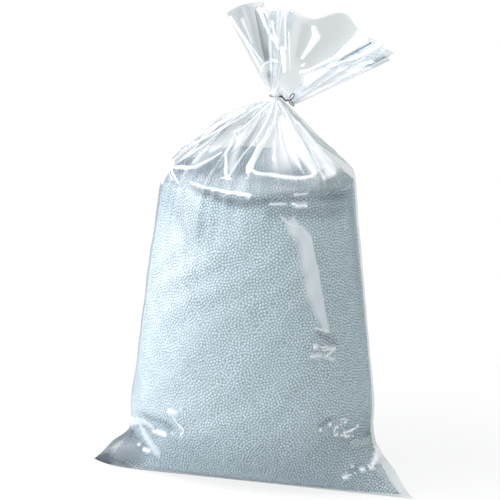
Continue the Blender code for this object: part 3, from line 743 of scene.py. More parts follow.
def lump(turn, z):
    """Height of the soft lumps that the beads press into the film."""
    level = math.tau * z / LUMP_LENGTH
    above_ears = ease(z / PINCH_HEIGHT - 0.5)
    below_cone = 1 - ease((z - CHEST_HEIGHT) / (SHOULDER_HEIGHT - CHEST_HEIGHT))
    upward = np.sin(level + LUMP_SWAY * np.sin(3 * turn))
    around = np.sin(LUMPS_ROUND * turn + LUMP_SWING * np.sin(level / 3))
    return LUMP_HEIGHT * above_ears * below_cone * upward * around


def pinch_dent(x, z):
    """Depth of the crease that runs inwards from the pinch above each ear."""
    reach = ease((np.abs(x) - DENT_START * PINCH_WIDTH / 2) / (DENT_RUN * PINCH_WIDTH / 2))
    level = (z - PINCH_HEIGHT - DENT_RISE) / DENT_SPREAD
    return PINCH_DENT * reach * np.exp(-level * level)


def small_pleats(turn):
    """Depth of the small pleats between the main folds at a turn, from 0 on a crest to 1."""
    return np.abs(np.sin(SMALL_PLEATS * swayed(turn, PLEAT_SWAY)))


def section_ring(section, turn):
    """Points of the film on a section, one for each turn."""
    angle = section_angle(turn)
    across = np.cos(angle)
    along = np.sin(angle)
    side_x = np.where(across >= 0, section.right_x, section.left_x)
    side_z = np.where(across >= 0, section.right_z, section.left_z)
    face_y = np.where(along >= 0, section.back_y, section.front_y)
    face_z = np.where(along >= 0, section.back_z, section.front_z)
    reach = np.abs(across) ** (2 / max(2.0, section.point))
    bulge = np.abs(along) ** (2 / section.point)
    blunt = SEAM_THICKNESS / 2 * np.abs(along) ** BLUNT_POWER * (1 - bulge)
    x = mix(section.middle_x, side_x, reach)
    y = section.side_y + (face_y - section.side_y) * bulge + np.sign(along) * blunt
    edge = np.maximum(0.0, (np.abs(across) - CREASE_START) / (1 - CREASE_START))
    z = mix(face_z, side_z, edge ** section.lift)
    out_x = x - section.middle_x
    out_y = y - (section.front_y + section.back_y) / 2
    length = np.maximum(np.hypot(out_x, out_y), 1e-9)
    dent = pinch_dent(x, z) * np.abs(along) ** DENT_POWER
    valley = section.pleat * ((1 - pleat_wave(turn)) / 2 + SMALL_PLEAT_SHARE * small_pleats(turn))
    push = lump(turn, z) * np.abs(along) - valley - dent
    return np.stack([x + out_x / length * push, y + out_y / length * push, z], axis=1)


def neck_ring(height, turn):
    """Fluted ring of the neck at a height."""
    angle = section_angle(turn)
    radius = NECK_RADIUS + FLUTE_DEPTH * pleat_wave(turn)
    return np.stack([NECK_OFFSET + radius * np.cos(angle), radius * np.sin(angle),
                     np.full_like(turn, height)], axis=1)


def frill_ring(start, turn, share):
    """Ring of the frill at a share of its length, fanned out and folded over itself."""
    turns, *columns = np.array(MOUTH_FOLDS).T
    shifted = [turn / math.tau + shift for shift in FOLD_BLUR]
    place, reach, depth = (np.mean([np.interp(share_of_tube, turns, column, period=1.0)
                                    for share_of_tube in shifted], axis=0) for column in columns)
    across = 1 - 2 * place
    side = np.where(across >= 0, FRILL_RIGHT_LENGTH, FRILL_LEFT_LENGTH)
    run = mix(FRILL_MIDDLE_LENGTH, side, np.abs(across) ** CORNER_POWER) * reach * share
    fan = mix(FRILL_RIGHT_ANGLE, FRILL_LEFT_ANGLE, place)
    spread = ease(run / FLARE_RUN)
    lean = mix(math.pi / 2, fan, mix(FLARE_START, 1.0, spread))
    sag = FRILL_DROOP * ease(across) + FRILL_SAG * ease(-across)
    droop = sag * ease(run / DROOP_START) * np.maximum(0.0, 1 - run / DROOP_RUN)
    x = start[:, 0] + run * np.cos(lean)
    y = start[:, 1] + FRILL_DEPTH * depth * share
    z = start[:, 2] + run * np.sin(lean) - droop
    return np.stack([x, y, z], axis=1)


def even_places(ring_at, first, last, step):
    """Places between first and last whose rings lie about one step apart."""
    fine = np.linspace(first, last, PLACES_TRIED)
    turn = np.linspace(0.0, math.tau, TURNS_TRIED, endpoint=False)
    rings = np.array([ring_at(place, turn) for place in fine])
    gaps = np.linalg.norm(np.diff(rings, axis=0), axis=2).mean(axis=1)
    run = np.concatenate([[0.0], np.cumsum(gaps)])
    count = max(2, round(run[-1] / step))
    return np.interp(np.linspace(0.0, run[-1], count + 1), run, fine)


def film_rings(columns, body_step, fold_step):
    """Rings of the film from the seam to the mouth, and the index of the first neck ring."""
    turn = np.linspace(0.0, math.tau, columns, endpoint=False)
    sections = body_sections()

    def body_ring(place, turns):
        """Ring of the standing body."""
        return section_ring(section_at(sections, place), turns)

    foot = len(sections) - 1.0
    brim = foot - SECTIONS_ABOVE_BRIM
    places = [*even_places(body_ring, 0.0, brim, body_step)[:-1],
              *even_places(body_ring, brim, foot, fold_step)]
    rings = [body_ring(place, turn) for place in places]
    neck = len(rings)
    rings.append(neck_ring(NECK_HEIGHT, turn))
    rings.append(neck_ring(NECK_HEIGHT + NECK_LENGTH / 2, turn))

    def flared_ring(share, turns):
        """Ring of the frill."""
        return frill_ring(neck_ring(NECK_HEIGHT + NECK_LENGTH / 2, turns), turns, share)

    for share in even_places(flared_ring, 0.0, 1.0, fold_step)[1:]:
        rings.append(flared_ring(share, turn))
    return np.array(rings), neck


def deselect_all():
    """Leave nothing selected."""
    for item in bpy.context.selected_objects:
        item.select_set(False)


def make_active(item):
    """Select one object and make it active."""
    deselect_all()
    item.select_set(True)
    bpy.context.view_layer.objects.active = item


def grid_object(name, rings, close_bottom, close_top):
    """A tube of quads through rings of points, its ends closed where asked."""
    rows, columns, _ = rings.shape
    mesh = bmesh.new()
    grid = [[mesh.verts.new(point) for point in ring] for ring in rings.tolist()]
    for low, high in zip(grid, grid[1:]):
        for column in range(columns):
            after = (column + 1) % columns
            mesh.faces.new((low[column], low[after], high[after], high[column]))
    if close_bottom:
        close_slot(mesh, grid[0])
    if close_top:
        middle = mesh.verts.new(rings[-1].mean(axis=0))
        for column in range(columns):
            mesh.faces.new((grid[-1][column], grid[-1][(column + 1) % columns], middle))
    data = bpy.data.meshes.new(name)
    mesh.to_mesh(data)
    mesh.free()
    data.shade_smooth()
    item = bpy.data.objects.new(name, data)
    bpy.context.scene.collection.objects.link(item)
    return item


def close_slot(mesh, row):
    """Close the narrow bottom of a tube between its front and its back."""
    columns = len(row)
    half = columns // 2
    for column in range(half):
        front = (columns - column) % columns
        front_next = columns - column - 1
        if column == 0:
            mesh.faces.new((row[0], row[front_next], row[1]))
        elif column == half - 1:
            mesh.faces.new((row[column], row[front], row[half]))
        else:
            mesh.faces.new((row[column], row[front], row[front_next], row[column + 1]))


def ring_normals(rings):
    """Outward normals of a stack of rings."""
    around = np.roll(rings, -1, axis=1) - np.roll(rings, 1, axis=1)
    upward = np.empty_like(rings)
    upward[1:-1] = rings[2:] - rings[:-2]
    upward[0] = rings[1] - rings[0]
    upward[-1] = rings[-1] - rings[-2]
    normals = np.cross(around, upward)
    return normals / np.maximum(np.linalg.norm(normals, axis=2, keepdims=True), 1e-12)


def pull_pairs(net, free, first, second, rest, firmness, only_push=False):
    """Move each pair of net points towards its rest distance, as far as they are free."""
    a, b = net[first], net[second]
    gap = b - a
    length = np.maximum(np.linalg.norm(gap, axis=-1), 1e-9)
    share_a, share_b = free[first], free[second]
    total = np.maximum(share_a + share_b, 1e-9)
    error = (length - rest) / length
    if only_push:
        error = np.minimum(error, 0.0)
    step = gap * (firmness * error / total)[..., None]
    net[first] = a + step * share_a[..., None]
    net[second] = b - step * share_b[..., None]


def relax_net(net, free, home, normal, limits, pull_home, rounds):
    """Let a net of threads find its folds between its flat width and the limits of its place."""
    rows, columns, _ = net.shape
    across = 2 * LAY_FLAT_WIDTH / columns
    upward = np.linalg.norm(np.diff(home, axis=0), axis=2)
    skew = np.sqrt(across ** 2 + ((upward + np.roll(upward, -1, axis=1)) / 2) ** 2)
    low, high = limits
    every = np.arange(columns)
    every_row = np.arange(rows)
    pairs = []
    for start in (0, 1):
        c = every[start::2]
        after = (c + 1) % columns
        pairs.append((np.ix_(every_row, c), np.ix_(every_row, after), across, THREAD_FIRMNESS, False))
        r = np.arange(start, rows - 1, 2)
        pairs.append((np.ix_(r, every), np.ix_(r + 1, every), upward[r], THREAD_FIRMNESS, False))
        turned = (every + 1) % columns
        pairs.append((np.ix_(r, every), np.ix_(r + 1, turned), skew[r], SKEW_FIRMNESS, False))
        pairs.append((np.ix_(r, turned), np.ix_(r + 1, every), skew[r], SKEW_FIRMNESS, False))
    for start in (0, 1):
        for part in (every[start::4], every[start + 2::4]):
            pairs.append((np.ix_(every_row, part), np.ix_(every_row, (part + 2) % columns),
                          across * BEND_REACH, BEND_FIRMNESS, True))
    for start in range(4):
        r = np.arange(start, rows - 2, 4)
        span = np.linalg.norm(home[r + 2] - home[r], axis=2)
        pairs.append((np.ix_(r, every), np.ix_(r + 2, every), span, UPWARD_BEND_FIRMNESS, True))
    for _ in range(rounds):
        for first, second, rest, firmness, only_push in pairs:
            pull_pairs(net, free, first, second, rest, firmness, only_push)
        offset = ((net - home) * normal).sum(axis=2)
        mend = np.clip(offset, low, high) - offset
        net += normal * (mend * (free > 0))[..., None]
        net += (home - net) * (pull_home * (free > 0))[..., None]
        net[:, :, 2] = np.maximum(net[:, :, 2], 0.0)
    return net


def finer(field, rows_from, rows_to, columns_to):
    """A field on a coarse net read off at the points of a finer one."""
    rows, columns, parts = field.shape
    out = np.empty((len(rows_to), columns_to, parts))
    places = np.arange(columns_to) * columns / columns_to
    for part in range(parts):
        tall = np.array([np.interp(rows_to, rows_from, field[:, column, part])
                         for column in range(columns)]).T
        closed = np.concatenate([tall, tall[:, :1]], axis=1)
        for row in range(len(rows_to)):
            out[row, :, part] = np.interp(places, np.arange(columns + 1), closed[row])
    return out


def relax_film(rings, neck, seeds):
    """Relax the film on nets of rising fineness, so that large folds come before small ones."""
    rows, columns, _ = rings.shape
    normals = ring_normals(rings)
    height = rings[:, :, 2]
    index = np.arange(rows)[:, None] + np.zeros((1, columns))
    above = np.clip((index - neck) / (rows - neck), 0.0, 1.0)
    on_beads = 1 - ease((height - FILL_HEIGHT - REST_RISE) / REST_FADE)
    pocket = mix(RELAX_PUSH_OUT, RELAX_POCKET,
                 ease(2 - height / PINCH_WIDTH * 2) * ease(height / POCKET_RISE))
    sway = FRILL_SWAY * above ** SWAY_POWER + FRILL_PLAY
    low = np.where(index < neck, mix(-CONE_SAG, -BEAD_PRESS, on_beads), -sway)
    high = np.where(index < neck, mix(RELAX_PUSH_OUT, pocket, on_beads), sway)
    home_pull = np.where(index > neck, FRILL_HOLD, 0.0)
    free = np.ones((rows, columns))
    free[:SEAM_RINGS_HELD] = 0.0
    free[neck - NECK_RINGS_HELD:neck + NECK_RINGS_HELD] = 0.0
    shift = np.zeros_like(rings)
    rows_before = None
    for step, rounds in RELAX_LEVELS:
        kept = np.unique(np.concatenate([np.arange(0, rows, step), [rows - 1]]))
        by_neck = (kept > neck - NECK_RINGS_HELD) & (kept < neck + NECK_RINGS_HELD)
        kept = kept[~by_neck | (step == 1) | (kept == neck)]
        pick = np.ix_(kept, np.arange(0, columns, step))
        home = rings[pick]
        if rows_before is None:
            start = home + normals[pick] * seeds[pick][..., None]
        else:
            start = home + finer(shift, rows_before, kept, columns // step)
        net = relax_net(start, free[pick], home, normals[pick],
                        (low[pick], high[pick]), home_pull[pick], rounds)
        shift = net - home
        rows_before = kept
    return net


def fold_seeds(rings, neck):
    """Depth of the first folds that the film is given before it relaxes."""
    rows, columns, _ = rings.shape
    turn = np.linspace(0.0, math.tau, columns, endpoint=False)
    pleats = 0.5 - 0.5 * np.cos(GATHER_PLEATS * swayed(turn, GATHER_SWAY))
    index = np.arange(rows)[:, None]
    height = rings[:, :, 2]
    in_cone = ease((height - FILL_HEIGHT) / GATHER_FADE) * (index < neck)
    above = np.clip((index - neck) / (rows - neck), 0.0, 1.0)
    waves = FLARE_WAVE_DEPTH * np.sin(FLARE_WAVES * turn + FLARE_WAVE_PHASE)
    flare = waves[None, :] * ease(above * FLARE_WAVE_RISE)
    return np.where(index < neck, -GATHER_DEPTH * pleats[None, :] * in_cone, flare)


def soften(shift, rounds):
    """A field of shifts averaged with its neighbours on the net, a number of times."""
    for _ in range(rounds):
        shift = (2 * shift + np.roll(shift, 1, axis=1) + np.roll(shift, -1, axis=1)) / 4
        shift[1:-1] = (2 * shift[1:-1] + shift[:-2] + shift[2:]) / 4
    return shift


def looseness(rings, neck):
    """How far each point of the film follows its relaxed place, from 0 to 1."""
    index = np.arange(len(rings))[:, None]
    in_cone = ease((rings[:, :, 2] - FILL_HEIGHT + LOOSE_DROP) / LOOSE_FADE)
    return np.where(index > neck, FRILL_LOOSENESS, mix(BODY_LOOSENESS, CONE_LOOSENESS, in_cone))


def sharp_folds(rings):
    """Milkiness of the film, partly painted highlight on its folds, from how sharply it turns between
    its columns.
    """
    after = np.roll(rings, -1, axis=1) - rings
    before = rings - np.roll(rings, 1, axis=1)
    along = (after * before).sum(axis=2)
    lengths = np.linalg.norm(after, axis=2) * np.linalg.norm(before, axis=2)
    bend = np.arccos(np.clip(along / np.maximum(lengths, 1e-12), -1.0, 1.0))
    return FOLD_MILK_AND_HIGHLIGHT * ease((bend - FOLD_BEND_LOW) / (FOLD_BEND_HIGH - FOLD_BEND_LOW))


def in_metres(value):
    """Millimetres as metres, with no digits left over from the division."""
    return round(value / 1000, 7)


def creases():
    """All creases in metres, those of the front first."""
    rows = [(True, *row) for row in FRONT_CREASES] + [(False, *row) for row in BACK_CREASES]
    return [Crease(front, in_metres(start), in_metres(end), lean, in_metres(height), milk, clear,
                   [(in_metres(x), in_metres(z)) for x, z in route])
            for front, start, end, lean, height, milk, clear, *route in rows]


def crease_share(crease, x, z, margin=0.0):
    """How deep points lie inside a crease seen from the front, from 0 at its rim to 1."""
    nearest = np.full(len(x), np.inf)
    reach = np.zeros(len(x))
    length = sum(math.dist(a, b) for a, b in zip(crease.route, crease.route[1:]))
    gone = 0.0
    for (x0, z0), (x1, z1) in zip(crease.route, crease.route[1:]):
        step_x, step_z = x1 - x0, z1 - z0
        span = math.hypot(step_x, step_z)
        share = np.clip(((x - x0) * step_x + (z - z0) * step_z) / span ** 2, 0.0, 1.0)
        off_x, off_z = x - x0 - share * step_x, z - z0 - share * step_z
        side = np.sign(off_z * step_x - off_x * step_z)
        away = np.hypot(off_x, off_z)
        here = mix(crease.start, crease.end, (gone + share * span) / length)
        reach = np.where(away < nearest, here * (1 + crease.lean * side) + margin, reach)
        nearest = np.minimum(nearest, away)
        gone += span
    return np.clip(1 - nearest / np.maximum(reach, 1e-6), 0.0, 1.0)


def vertex_values(data, name):
    """Values of a vertex attribute as an array."""
    values = np.empty(len(data.vertices), dtype=np.float32)
    data.attributes[name].data.foreach_get("value", values)
    return values.astype(float)


def vertex_places(data):
    """Places of all vertices as an array of rows."""
    places = np.empty(len(data.vertices) * 3)
    data.vertices.foreach_get("co", places)
    return places.reshape(-1, 3)


def refine_creases(film, over_beads, cuts):
    """Give the film smaller faces along the creases over the beads, or along all others."""
    places = vertex_places(film.data)
    front = vertex_values(film.data, "front") > 0.5
    near = np.zeros(len(places), dtype=bool)
    for crease in creases():
        if (crease.clear > 0) != over_beads or crease.height == 0:
            continue
        side = front == crease.front
        near |= side & (crease_share(crease, places[:, 0], places[:, 2], REFINE_MARGIN) > 0)
    mesh = bmesh.new()
    mesh.from_mesh(film.data)
    mesh.verts.ensure_lookup_table()
    edges = [edge for edge in mesh.edges if all(near[vert.index] for vert in edge.verts)]
    bmesh.ops.subdivide_edges(mesh, edges=edges, cuts=cuts, use_grid_fill=True)
    bmesh.ops.triangulate(mesh, faces=[face for face in mesh.faces if len(face.verts) > 4])
    mesh.to_mesh(film.data)
    mesh.free()


def press_creases(film):
    """Press the creases into the film and note where it is milky, partly with painted highlight and
    painted sheen, where painted shade darkens it, and where the beads dimple it.
    """
    data = film.data
    places = vertex_places(data)
    normals = np.empty(len(places) * 3, dtype=np.float32)
    data.vertex_normals.foreach_get("vector", normals)
    normals = normals.reshape(-1, 3).astype(float)
    front = vertex_values(data, "front") > 0.5
    milk = vertex_values(data, "milk")
    x, z = places[:, 0], places[:, 2]
    touch = ease((FILL_HEIGHT + BRIM_RISE - z) / BRIM_FADE)
    lift = np.zeros(len(places))
    dusk = np.zeros(len(places))
    for crease in creases():
        side = front == crease.front
        share = crease_share(crease, x, z) * side
        lift = np.maximum(lift, crease.height * share ** CREST_POWER)
        strength = ease(share * (FOLD_STRENGTH if crease.height > 0 else PATCH_STRENGTH))
        # Creases whiten the film, partly as painted highlight, or darken it with painted shade
        milk = np.maximum(milk, crease.milk * strength)
        dusk = np.maximum(dusk, -crease.milk * strength)
        touch = np.minimum(touch, 1 - crease.clear * ease(share * CLEAR_STRENGTH))
    # Painted sheen over the left of the front, as milk, with fewer dimples under it
    painted_sheen = ease((PAINTED_SHEEN_RIGHT - x) / PAINTED_SHEEN_FADE) * front
    painted_sheen *= ease((z - PAINTED_SHEEN_LOW) / PAINTED_SHEEN_BLUR + 0.5) * ease((PAINTED_SHEEN_HIGH - z) / PAINTED_SHEEN_BLUR + 0.5)
    milk = np.maximum(milk, PAINTED_SHEEN * painted_sheen * (1 - dusk))
    dimples = touch * (1 - PAINTED_SHEEN_SMOOTHING * painted_sheen)
    # Painted shade over the empty tip of the left ear
    tip = np.hypot(x + LAY_FLAT_WIDTH / 2, z - LEFT_EAR_LIFT)
    dusk = np.maximum(dusk, TIP_PAINTED_SHADE * ease(TIP_STRENGTH - TIP_STRENGTH * tip / TIP_REACH))
    # Painted shade along the bottom edge of the front
    edge = ease(1 - z / EDGE_HEIGHT) * ease((EDGE_RIGHT - x) / EDGE_FADE) * front
    dusk = np.maximum(dusk, EDGE_PAINTED_SHADE * edge) * (1 - milk * (milk > PAINTED_SHEEN))
    neck = np.linalg.norm(places - np.array([NECK_OFFSET, 0.0, NECK_HEIGHT]), axis=1)
    milk = np.maximum(milk, NECK_MILK * np.exp(-(neck / NECK_MILK_REACH) ** 2))
    places = places + normals * lift[:, None]
    data.vertices.foreach_set("co", places.ravel())
    data.attributes["milk"].data.foreach_set("value", milk.astype(np.float32))
    for name, values in (("on_beads", touch), ("dimples", dimples), ("dusk", dusk)):
        attribute = data.attributes.new(name, "FLOAT", "POINT")
        attribute.data.foreach_set("value", values.astype(np.float32))
    data.update()


def fill_rings(depth):
    """Rings of the bead mass at a depth under the film, and of its heaped top."""
    rings, _ = film_rings(FILL_COLUMNS, FILL_ROW_STEP, FILL_ROW_STEP)
    normals = ring_normals(rings)
    half_way = FILL_COLUMNS // 2
    front = 3 * FILL_COLUMNS // 4
    angle = section_angle(np.linspace(0.0, math.tau, FILL_COLUMNS, endpoint=False))
    side = np.where(np.sin(angle) >= 0, 1.0, -1.0)
    least = EAR_FILL_DEPTH * np.abs(np.sin(angle)) ** 0.5
    levels = []
    for ring, normal in zip(rings[1:], normals[1:]):
        if ring[front, 2] > FILL_HEIGHT:
            break
        middle = (ring[0, 0] + ring[half_way, 0]) / 2
        half = (ring[0, 0] - ring[half_way, 0]) / 2
        low = 1 - ease(ring[front, 2] / PINCH_HEIGHT)
        inner = ring - normal * depth
        empty = np.where(inner[:, 0] < middle, LEFT_EAR_EMPTY, RIGHT_EAR_EMPTY)
        shrink = 1 - mix(CREASE_STRIP, empty, low) / half
        inner[:, 0] = middle + (inner[:, 0] - middle) * shrink
        side_y = ring[0, 1]
        inner[:, 1] = side_y + side * np.maximum(side * (inner[:, 1] - side_y), least)
        inner[:, 2] = np.maximum(inner[:, 2], depth)
        levels.append(inner)
    edge = levels[-1]
    summit = edge.mean(axis=0) + np.array([-HEAP_LEFT, HEAP_BACK, HEAP_HEIGHT])
    for step in range(1, HEAP_RINGS):
        share = step / HEAP_RINGS
        swell = 1 - (1 - share) ** 3
        ring = mix(edge, summit, share)
        ripple = HEAP_RIPPLE * np.sin(3 * angle + 4 * share) * share
        ring[:, 2] = mix(edge[:, 2], summit[2], swell) + ripple
        levels.append(ring)
    return np.array(levels)


def apply_nodes(item, tree):
    """Run a node tree on an object as a modifier and apply it."""
    modifier = item.modifiers.new("nodes", "NODES")
    modifier.node_group = tree
    make_active(item)
    bpy.ops.object.modifier_apply(modifier=modifier.name)


def add_node(tree, kind, inputs=(), **settings):
    """A node with its settings, and each of its inputs given a value or linked to a socket."""
    node = tree.nodes.new(kind)
    for name, value in settings.items():
        setattr(node, name, value)
    for name, value in dict(inputs).items():
        if isinstance(value, bpy.types.NodeSocket):
            tree.links.new(value, node.inputs[name])
        else:
            node.inputs[name].default_value = value
    return node


def geometry_tree(name):
    """A geometry node tree with nothing in it but its input, and that input's socket."""
    tree = bpy.data.node_groups.new(name, "GeometryNodeTree")
    for way in ("INPUT", "OUTPUT"):
        tree.interface.new_socket("Geometry", in_out=way, socket_type="NodeSocketGeometry")
    return tree, add_node(tree, "NodeGroupInput").outputs[0]


def scatter_tree(spacing, seed):
    """Nodes that strew points over a surface, no two closer than the spacing."""
    tree, surface = geometry_tree("strew points")
    strew = add_node(tree, "GeometryNodeDistributePointsOnFaces", distribute_method="POISSON", inputs={
        "Mesh": surface, "Distance Min": spacing,
        "Density Max": STREW_DENSITY / spacing ** 2, "Seed": seed})
    points = add_node(tree, "GeometryNodePointsToVertices", {"Points": strew.outputs["Points"]})
    add_node(tree, "NodeGroupOutput", {0: points.outputs["Mesh"]})
    return tree


def spread_evenly(places, surface, pitch, rounds):
    """Push points apart along a surface until they lie about one pitch from their neighbours."""
    reach = PUSH_REACH * pitch
    for _ in range(rounds):
        tree = kdtree.KDTree(len(places))
        for index, place in enumerate(places):
            tree.insert(place, index)
        tree.balance()
        near = np.array([[hit[1] for hit in tree.find_n(place, PUSH_NEIGHBOURS)] for place in places])
        away = places[:, None, :] - places[near]
        length = np.linalg.norm(away, axis=2)
        push = np.where((length > 1e-9) & (length < reach), 1.0 - length / reach, 0.0)
        step = (away / np.maximum(length, 1e-9)[:, :, None] * push[:, :, None]).sum(axis=1)
        places = places + step * pitch * PUSH_STEP
        places = np.array([surface.find_nearest(place)[0] for place in places])
    return places


def bead_places(settings):
    """Centres of all beads that lie against the film, the floor and the open top."""
    shell = grid_object("bead_layer", fill_rings(settings.diameter / 2 + FILM_GAP), True, True)
    surface = bvhtree.BVHTree.FromObject(shell, bpy.context.evaluated_depsgraph_get())
    apply_nodes(shell, scatter_tree(settings.pitch * STREW_SHARE, settings.seed))
    places = vertex_places(shell.data)
    bpy.data.objects.remove(shell, do_unlink=True)
    return spread_evenly(places, surface, settings.pitch, PUSH_ROUNDS)


def round_bead(diameter):
    """One bead, a small round of twenty faces."""
    deselect_all()
    bpy.ops.mesh.primitive_ico_sphere_add(subdivisions=1, radius=diameter / 2)
    bead = bpy.context.active_object
    bead.data.shade_smooth()
    return bead


def bead_tree(bead, material, seed):
    """Nodes that put a bead on every point, each turned and sized a little differently."""
    tree, points = geometry_tree("lay beads")
    source = add_node(tree, "GeometryNodeObjectInfo", {"Object": bead})
    turn = add_node(tree, "FunctionNodeRandomValue", data_type="FLOAT_VECTOR", inputs={
        "Max": (math.tau, math.tau, math.tau), "Seed": seed})
    size = add_node(tree, "FunctionNodeRandomValue", data_type="FLOAT", inputs={
        2: SMALLEST_BEAD, 3: LARGEST_BEAD, "Seed": seed + 1})
    tone = add_node(tree, "FunctionNodeRandomValue", {"Seed": seed + 2}, data_type="FLOAT")
    keep = add_node(tree, "GeometryNodeStoreNamedAttribute", data_type="FLOAT", domain="POINT", inputs={
        "Geometry": points, "Name": "bead_tone", "Value": tone.outputs[1]})
    lay = add_node(tree, "GeometryNodeInstanceOnPoints", {
        "Points": keep.outputs["Geometry"], "Instance": source.outputs["Geometry"],
        "Rotation": turn.outputs[0], "Scale": size.outputs[1]})
    real = add_node(tree, "GeometryNodeRealizeInstances", {"Geometry": lay.outputs["Instances"]})
    paint = add_node(tree, "GeometryNodeSetMaterial", {
        "Geometry": real.outputs["Geometry"], "Material": material})
    add_node(tree, "NodeGroupOutput", {0: paint.outputs["Geometry"]})
    return tree


def point_object(name, places):
    """An object of loose points."""
    data = bpy.data.meshes.new(name)
    data.from_pydata(places.tolist(), [], [])
    item = bpy.data.objects.new(name, data)
    bpy.context.scene.collection.objects.link(item)
    return item


def new_material(name):
    """A node material with nothing in it."""
    material = bpy.data.materials.new(name)
    material.use_nodes = True
    material.node_tree.nodes.clear()
    return material, material.node_tree


def attribute_value(tree, name):
    """Socket that gives a vertex attribute's value to a material."""
    return add_node(tree, "ShaderNodeAttribute", attribute_name=name).outputs["Fac"]


def mixed_colour(tree, share, first, second):
    """Socket of a colour between two others, given without their alpha."""
    mixing = add_node(tree, "ShaderNodeMix", data_type="RGBA", inputs={
        "Factor": share, "A": (*first, 1.0), "B": (*second, 1.0)})
    return mixing.outputs["Result"]


def mixed_shader(tree, share, first, second):
    """Node of a shader between two others."""
    return add_node(tree, "ShaderNodeMixShader", {
        "Fac": share, 1: first.outputs[0], 2: second.outputs[0]})


def film_material(settings):
    """Clear polythene: tinted see-through film with gloss, a little haze, milky creases that are partly
    painted highlights, a painted sheen and painted shade.
    """
    material, tree = new_material("clear_polythene")
    # Colour of the whitened film, which also carries the painted highlights and painted sheen
    milk = (*settings.milk, 1.0)
    touch = attribute_value(tree, "on_beads")
    # The film's tint turns towards the colour of the painted shade where shade is painted on it
    clear = add_node(tree, "ShaderNodeBsdfTransparent", {
        "Color": mixed_colour(tree, attribute_value(tree, "dusk"), settings.tint, settings.dusk)})
    near_side = add_node(tree, "ShaderNodeBsdfDiffuse", {"Color": milk})
    far_side = add_node(tree, "ShaderNodeBsdfTranslucent", {"Color": milk})
    scatter = mixed_shader(tree, THROUGH_SHARE, near_side, far_side)
    share = add_node(tree, "ShaderNodeMath", operation="MAXIMUM", inputs={
        0: attribute_value(tree, "milk"), 1: settings.haze})
    whole = mixed_shader(tree, share.outputs[0], clear, scatter)
    place = add_node(tree, "ShaderNodeTexCoord")
    dimples = add_node(tree, "ShaderNodeTexVoronoi", {
        "Vector": place.outputs["Object"], "Scale": DIMPLE_SCALE})
    height = add_node(tree, "ShaderNodeMath", operation="MULTIPLY", inputs={
        0: dimples.outputs["Distance"], 1: attribute_value(tree, "dimples")})
    bump = add_node(tree, "ShaderNodeBump", invert=True, inputs={
        "Height": height.outputs[0], "Strength": DIMPLE_STRENGTH, "Distance": DIMPLE_DEPTH})
    edge = add_node(tree, "ShaderNodeLayerWeight", {"Blend": 0.5, "Normal": bump.outputs["Normal"]})
    steep = add_node(tree, "ShaderNodeMath", operation="POWER", inputs={
        0: edge.outputs["Facing"], 1: STEEP_POWER})
    sheen = add_node(tree, "ShaderNodeMapRange", {
        "Value": touch, "To Min": STEEP_SHEEN_FREE, "To Max": STEEP_SHEEN_ON_BEADS})
    shine = add_node(tree, "ShaderNodeMath", operation="MULTIPLY_ADD", inputs={
        0: steep.outputs[0], 1: sheen.outputs["Result"], 2: FLAT_SHEEN})
    rough = add_node(tree, "ShaderNodeMapRange", {
        "Value": touch, "To Min": settings.roughness, "To Max": settings.dimpled})
    gloss = add_node(tree, "ShaderNodeBsdfGlossy", {
        "Color": GLOSS_COLOUR, "Roughness": rough.outputs["Result"], "Normal": bump.outputs["Normal"]})
    film = mixed_shader(tree, shine.outputs[0], whole, gloss)
    add_node(tree, "ShaderNodeOutputMaterial", {"Surface": film.outputs[0]})
    return material


def bead_material(settings, name, shade):
    """Matt expanded bead, each one a little lighter or darker than the next, its whole colour scaled by
    a share that paints shade on the bed and the heap.
    """
    material, tree = new_material(name)
    low = [channel * DARK_TONE * shade for channel in settings.colour]
    high = [min(1.0, channel * LIGHT_TONE * shade) for channel in settings.colour]
    shader = add_node(tree, "ShaderNodeBsdfPrincipled", {
        "Base Color": mixed_colour(tree, attribute_value(tree, "bead_tone"), low, high),
        "Roughness": BEAD_ROUGHNESS, "Specular IOR Level": BEAD_SPECULAR})
    add_node(tree, "ShaderNodeOutputMaterial", {"Surface": shader.outputs[0]})
    return material


def tie_material(settings):
    """Annealed steel wire, black by the neck and lighter grey towards its two eyes."""
    material, tree = new_material("annealed_wire")
    low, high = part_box("wire_tie")
    start, end = WIRE_LIGHTER_SPAN
    place = add_node(tree, "ShaderNodeTexCoord")
    split = add_node(tree, "ShaderNodeSeparateXYZ", {0: place.outputs["Object"]})
    along = add_node(tree, "ShaderNodeMapRange", {
        "Value": split.outputs["X"], "From Min": mix(low.x, high.x, start),
        "From Max": mix(low.x, high.x, end)})
    shader = add_node(tree, "ShaderNodeBsdfPrincipled", {
        "Base Color": mixed_colour(tree, along.outputs["Result"], settings.dark, settings.bright),
        "Metallic": WIRE_METAL, "Roughness": WIRE_ROUGHNESS})
    add_node(tree, "ShaderNodeOutputMaterial", {"Surface": shader.outputs[0]})
    return material


def white_to_camera(tree):
    """One for rays that see the background straight, in gloss or through a clear piece."""
    path = add_node(tree, "ShaderNodeLightPath")
    seen = path.outputs["Is Camera Ray"]
    for name in ("Is Glossy Ray", "Is Transmission Ray"):
        add = add_node(tree, "ShaderNodeMath", operation="ADD", use_clamp=True, inputs={
            0: seen, 1: path.outputs[name]})
        seen = add.outputs[0]
    return seen


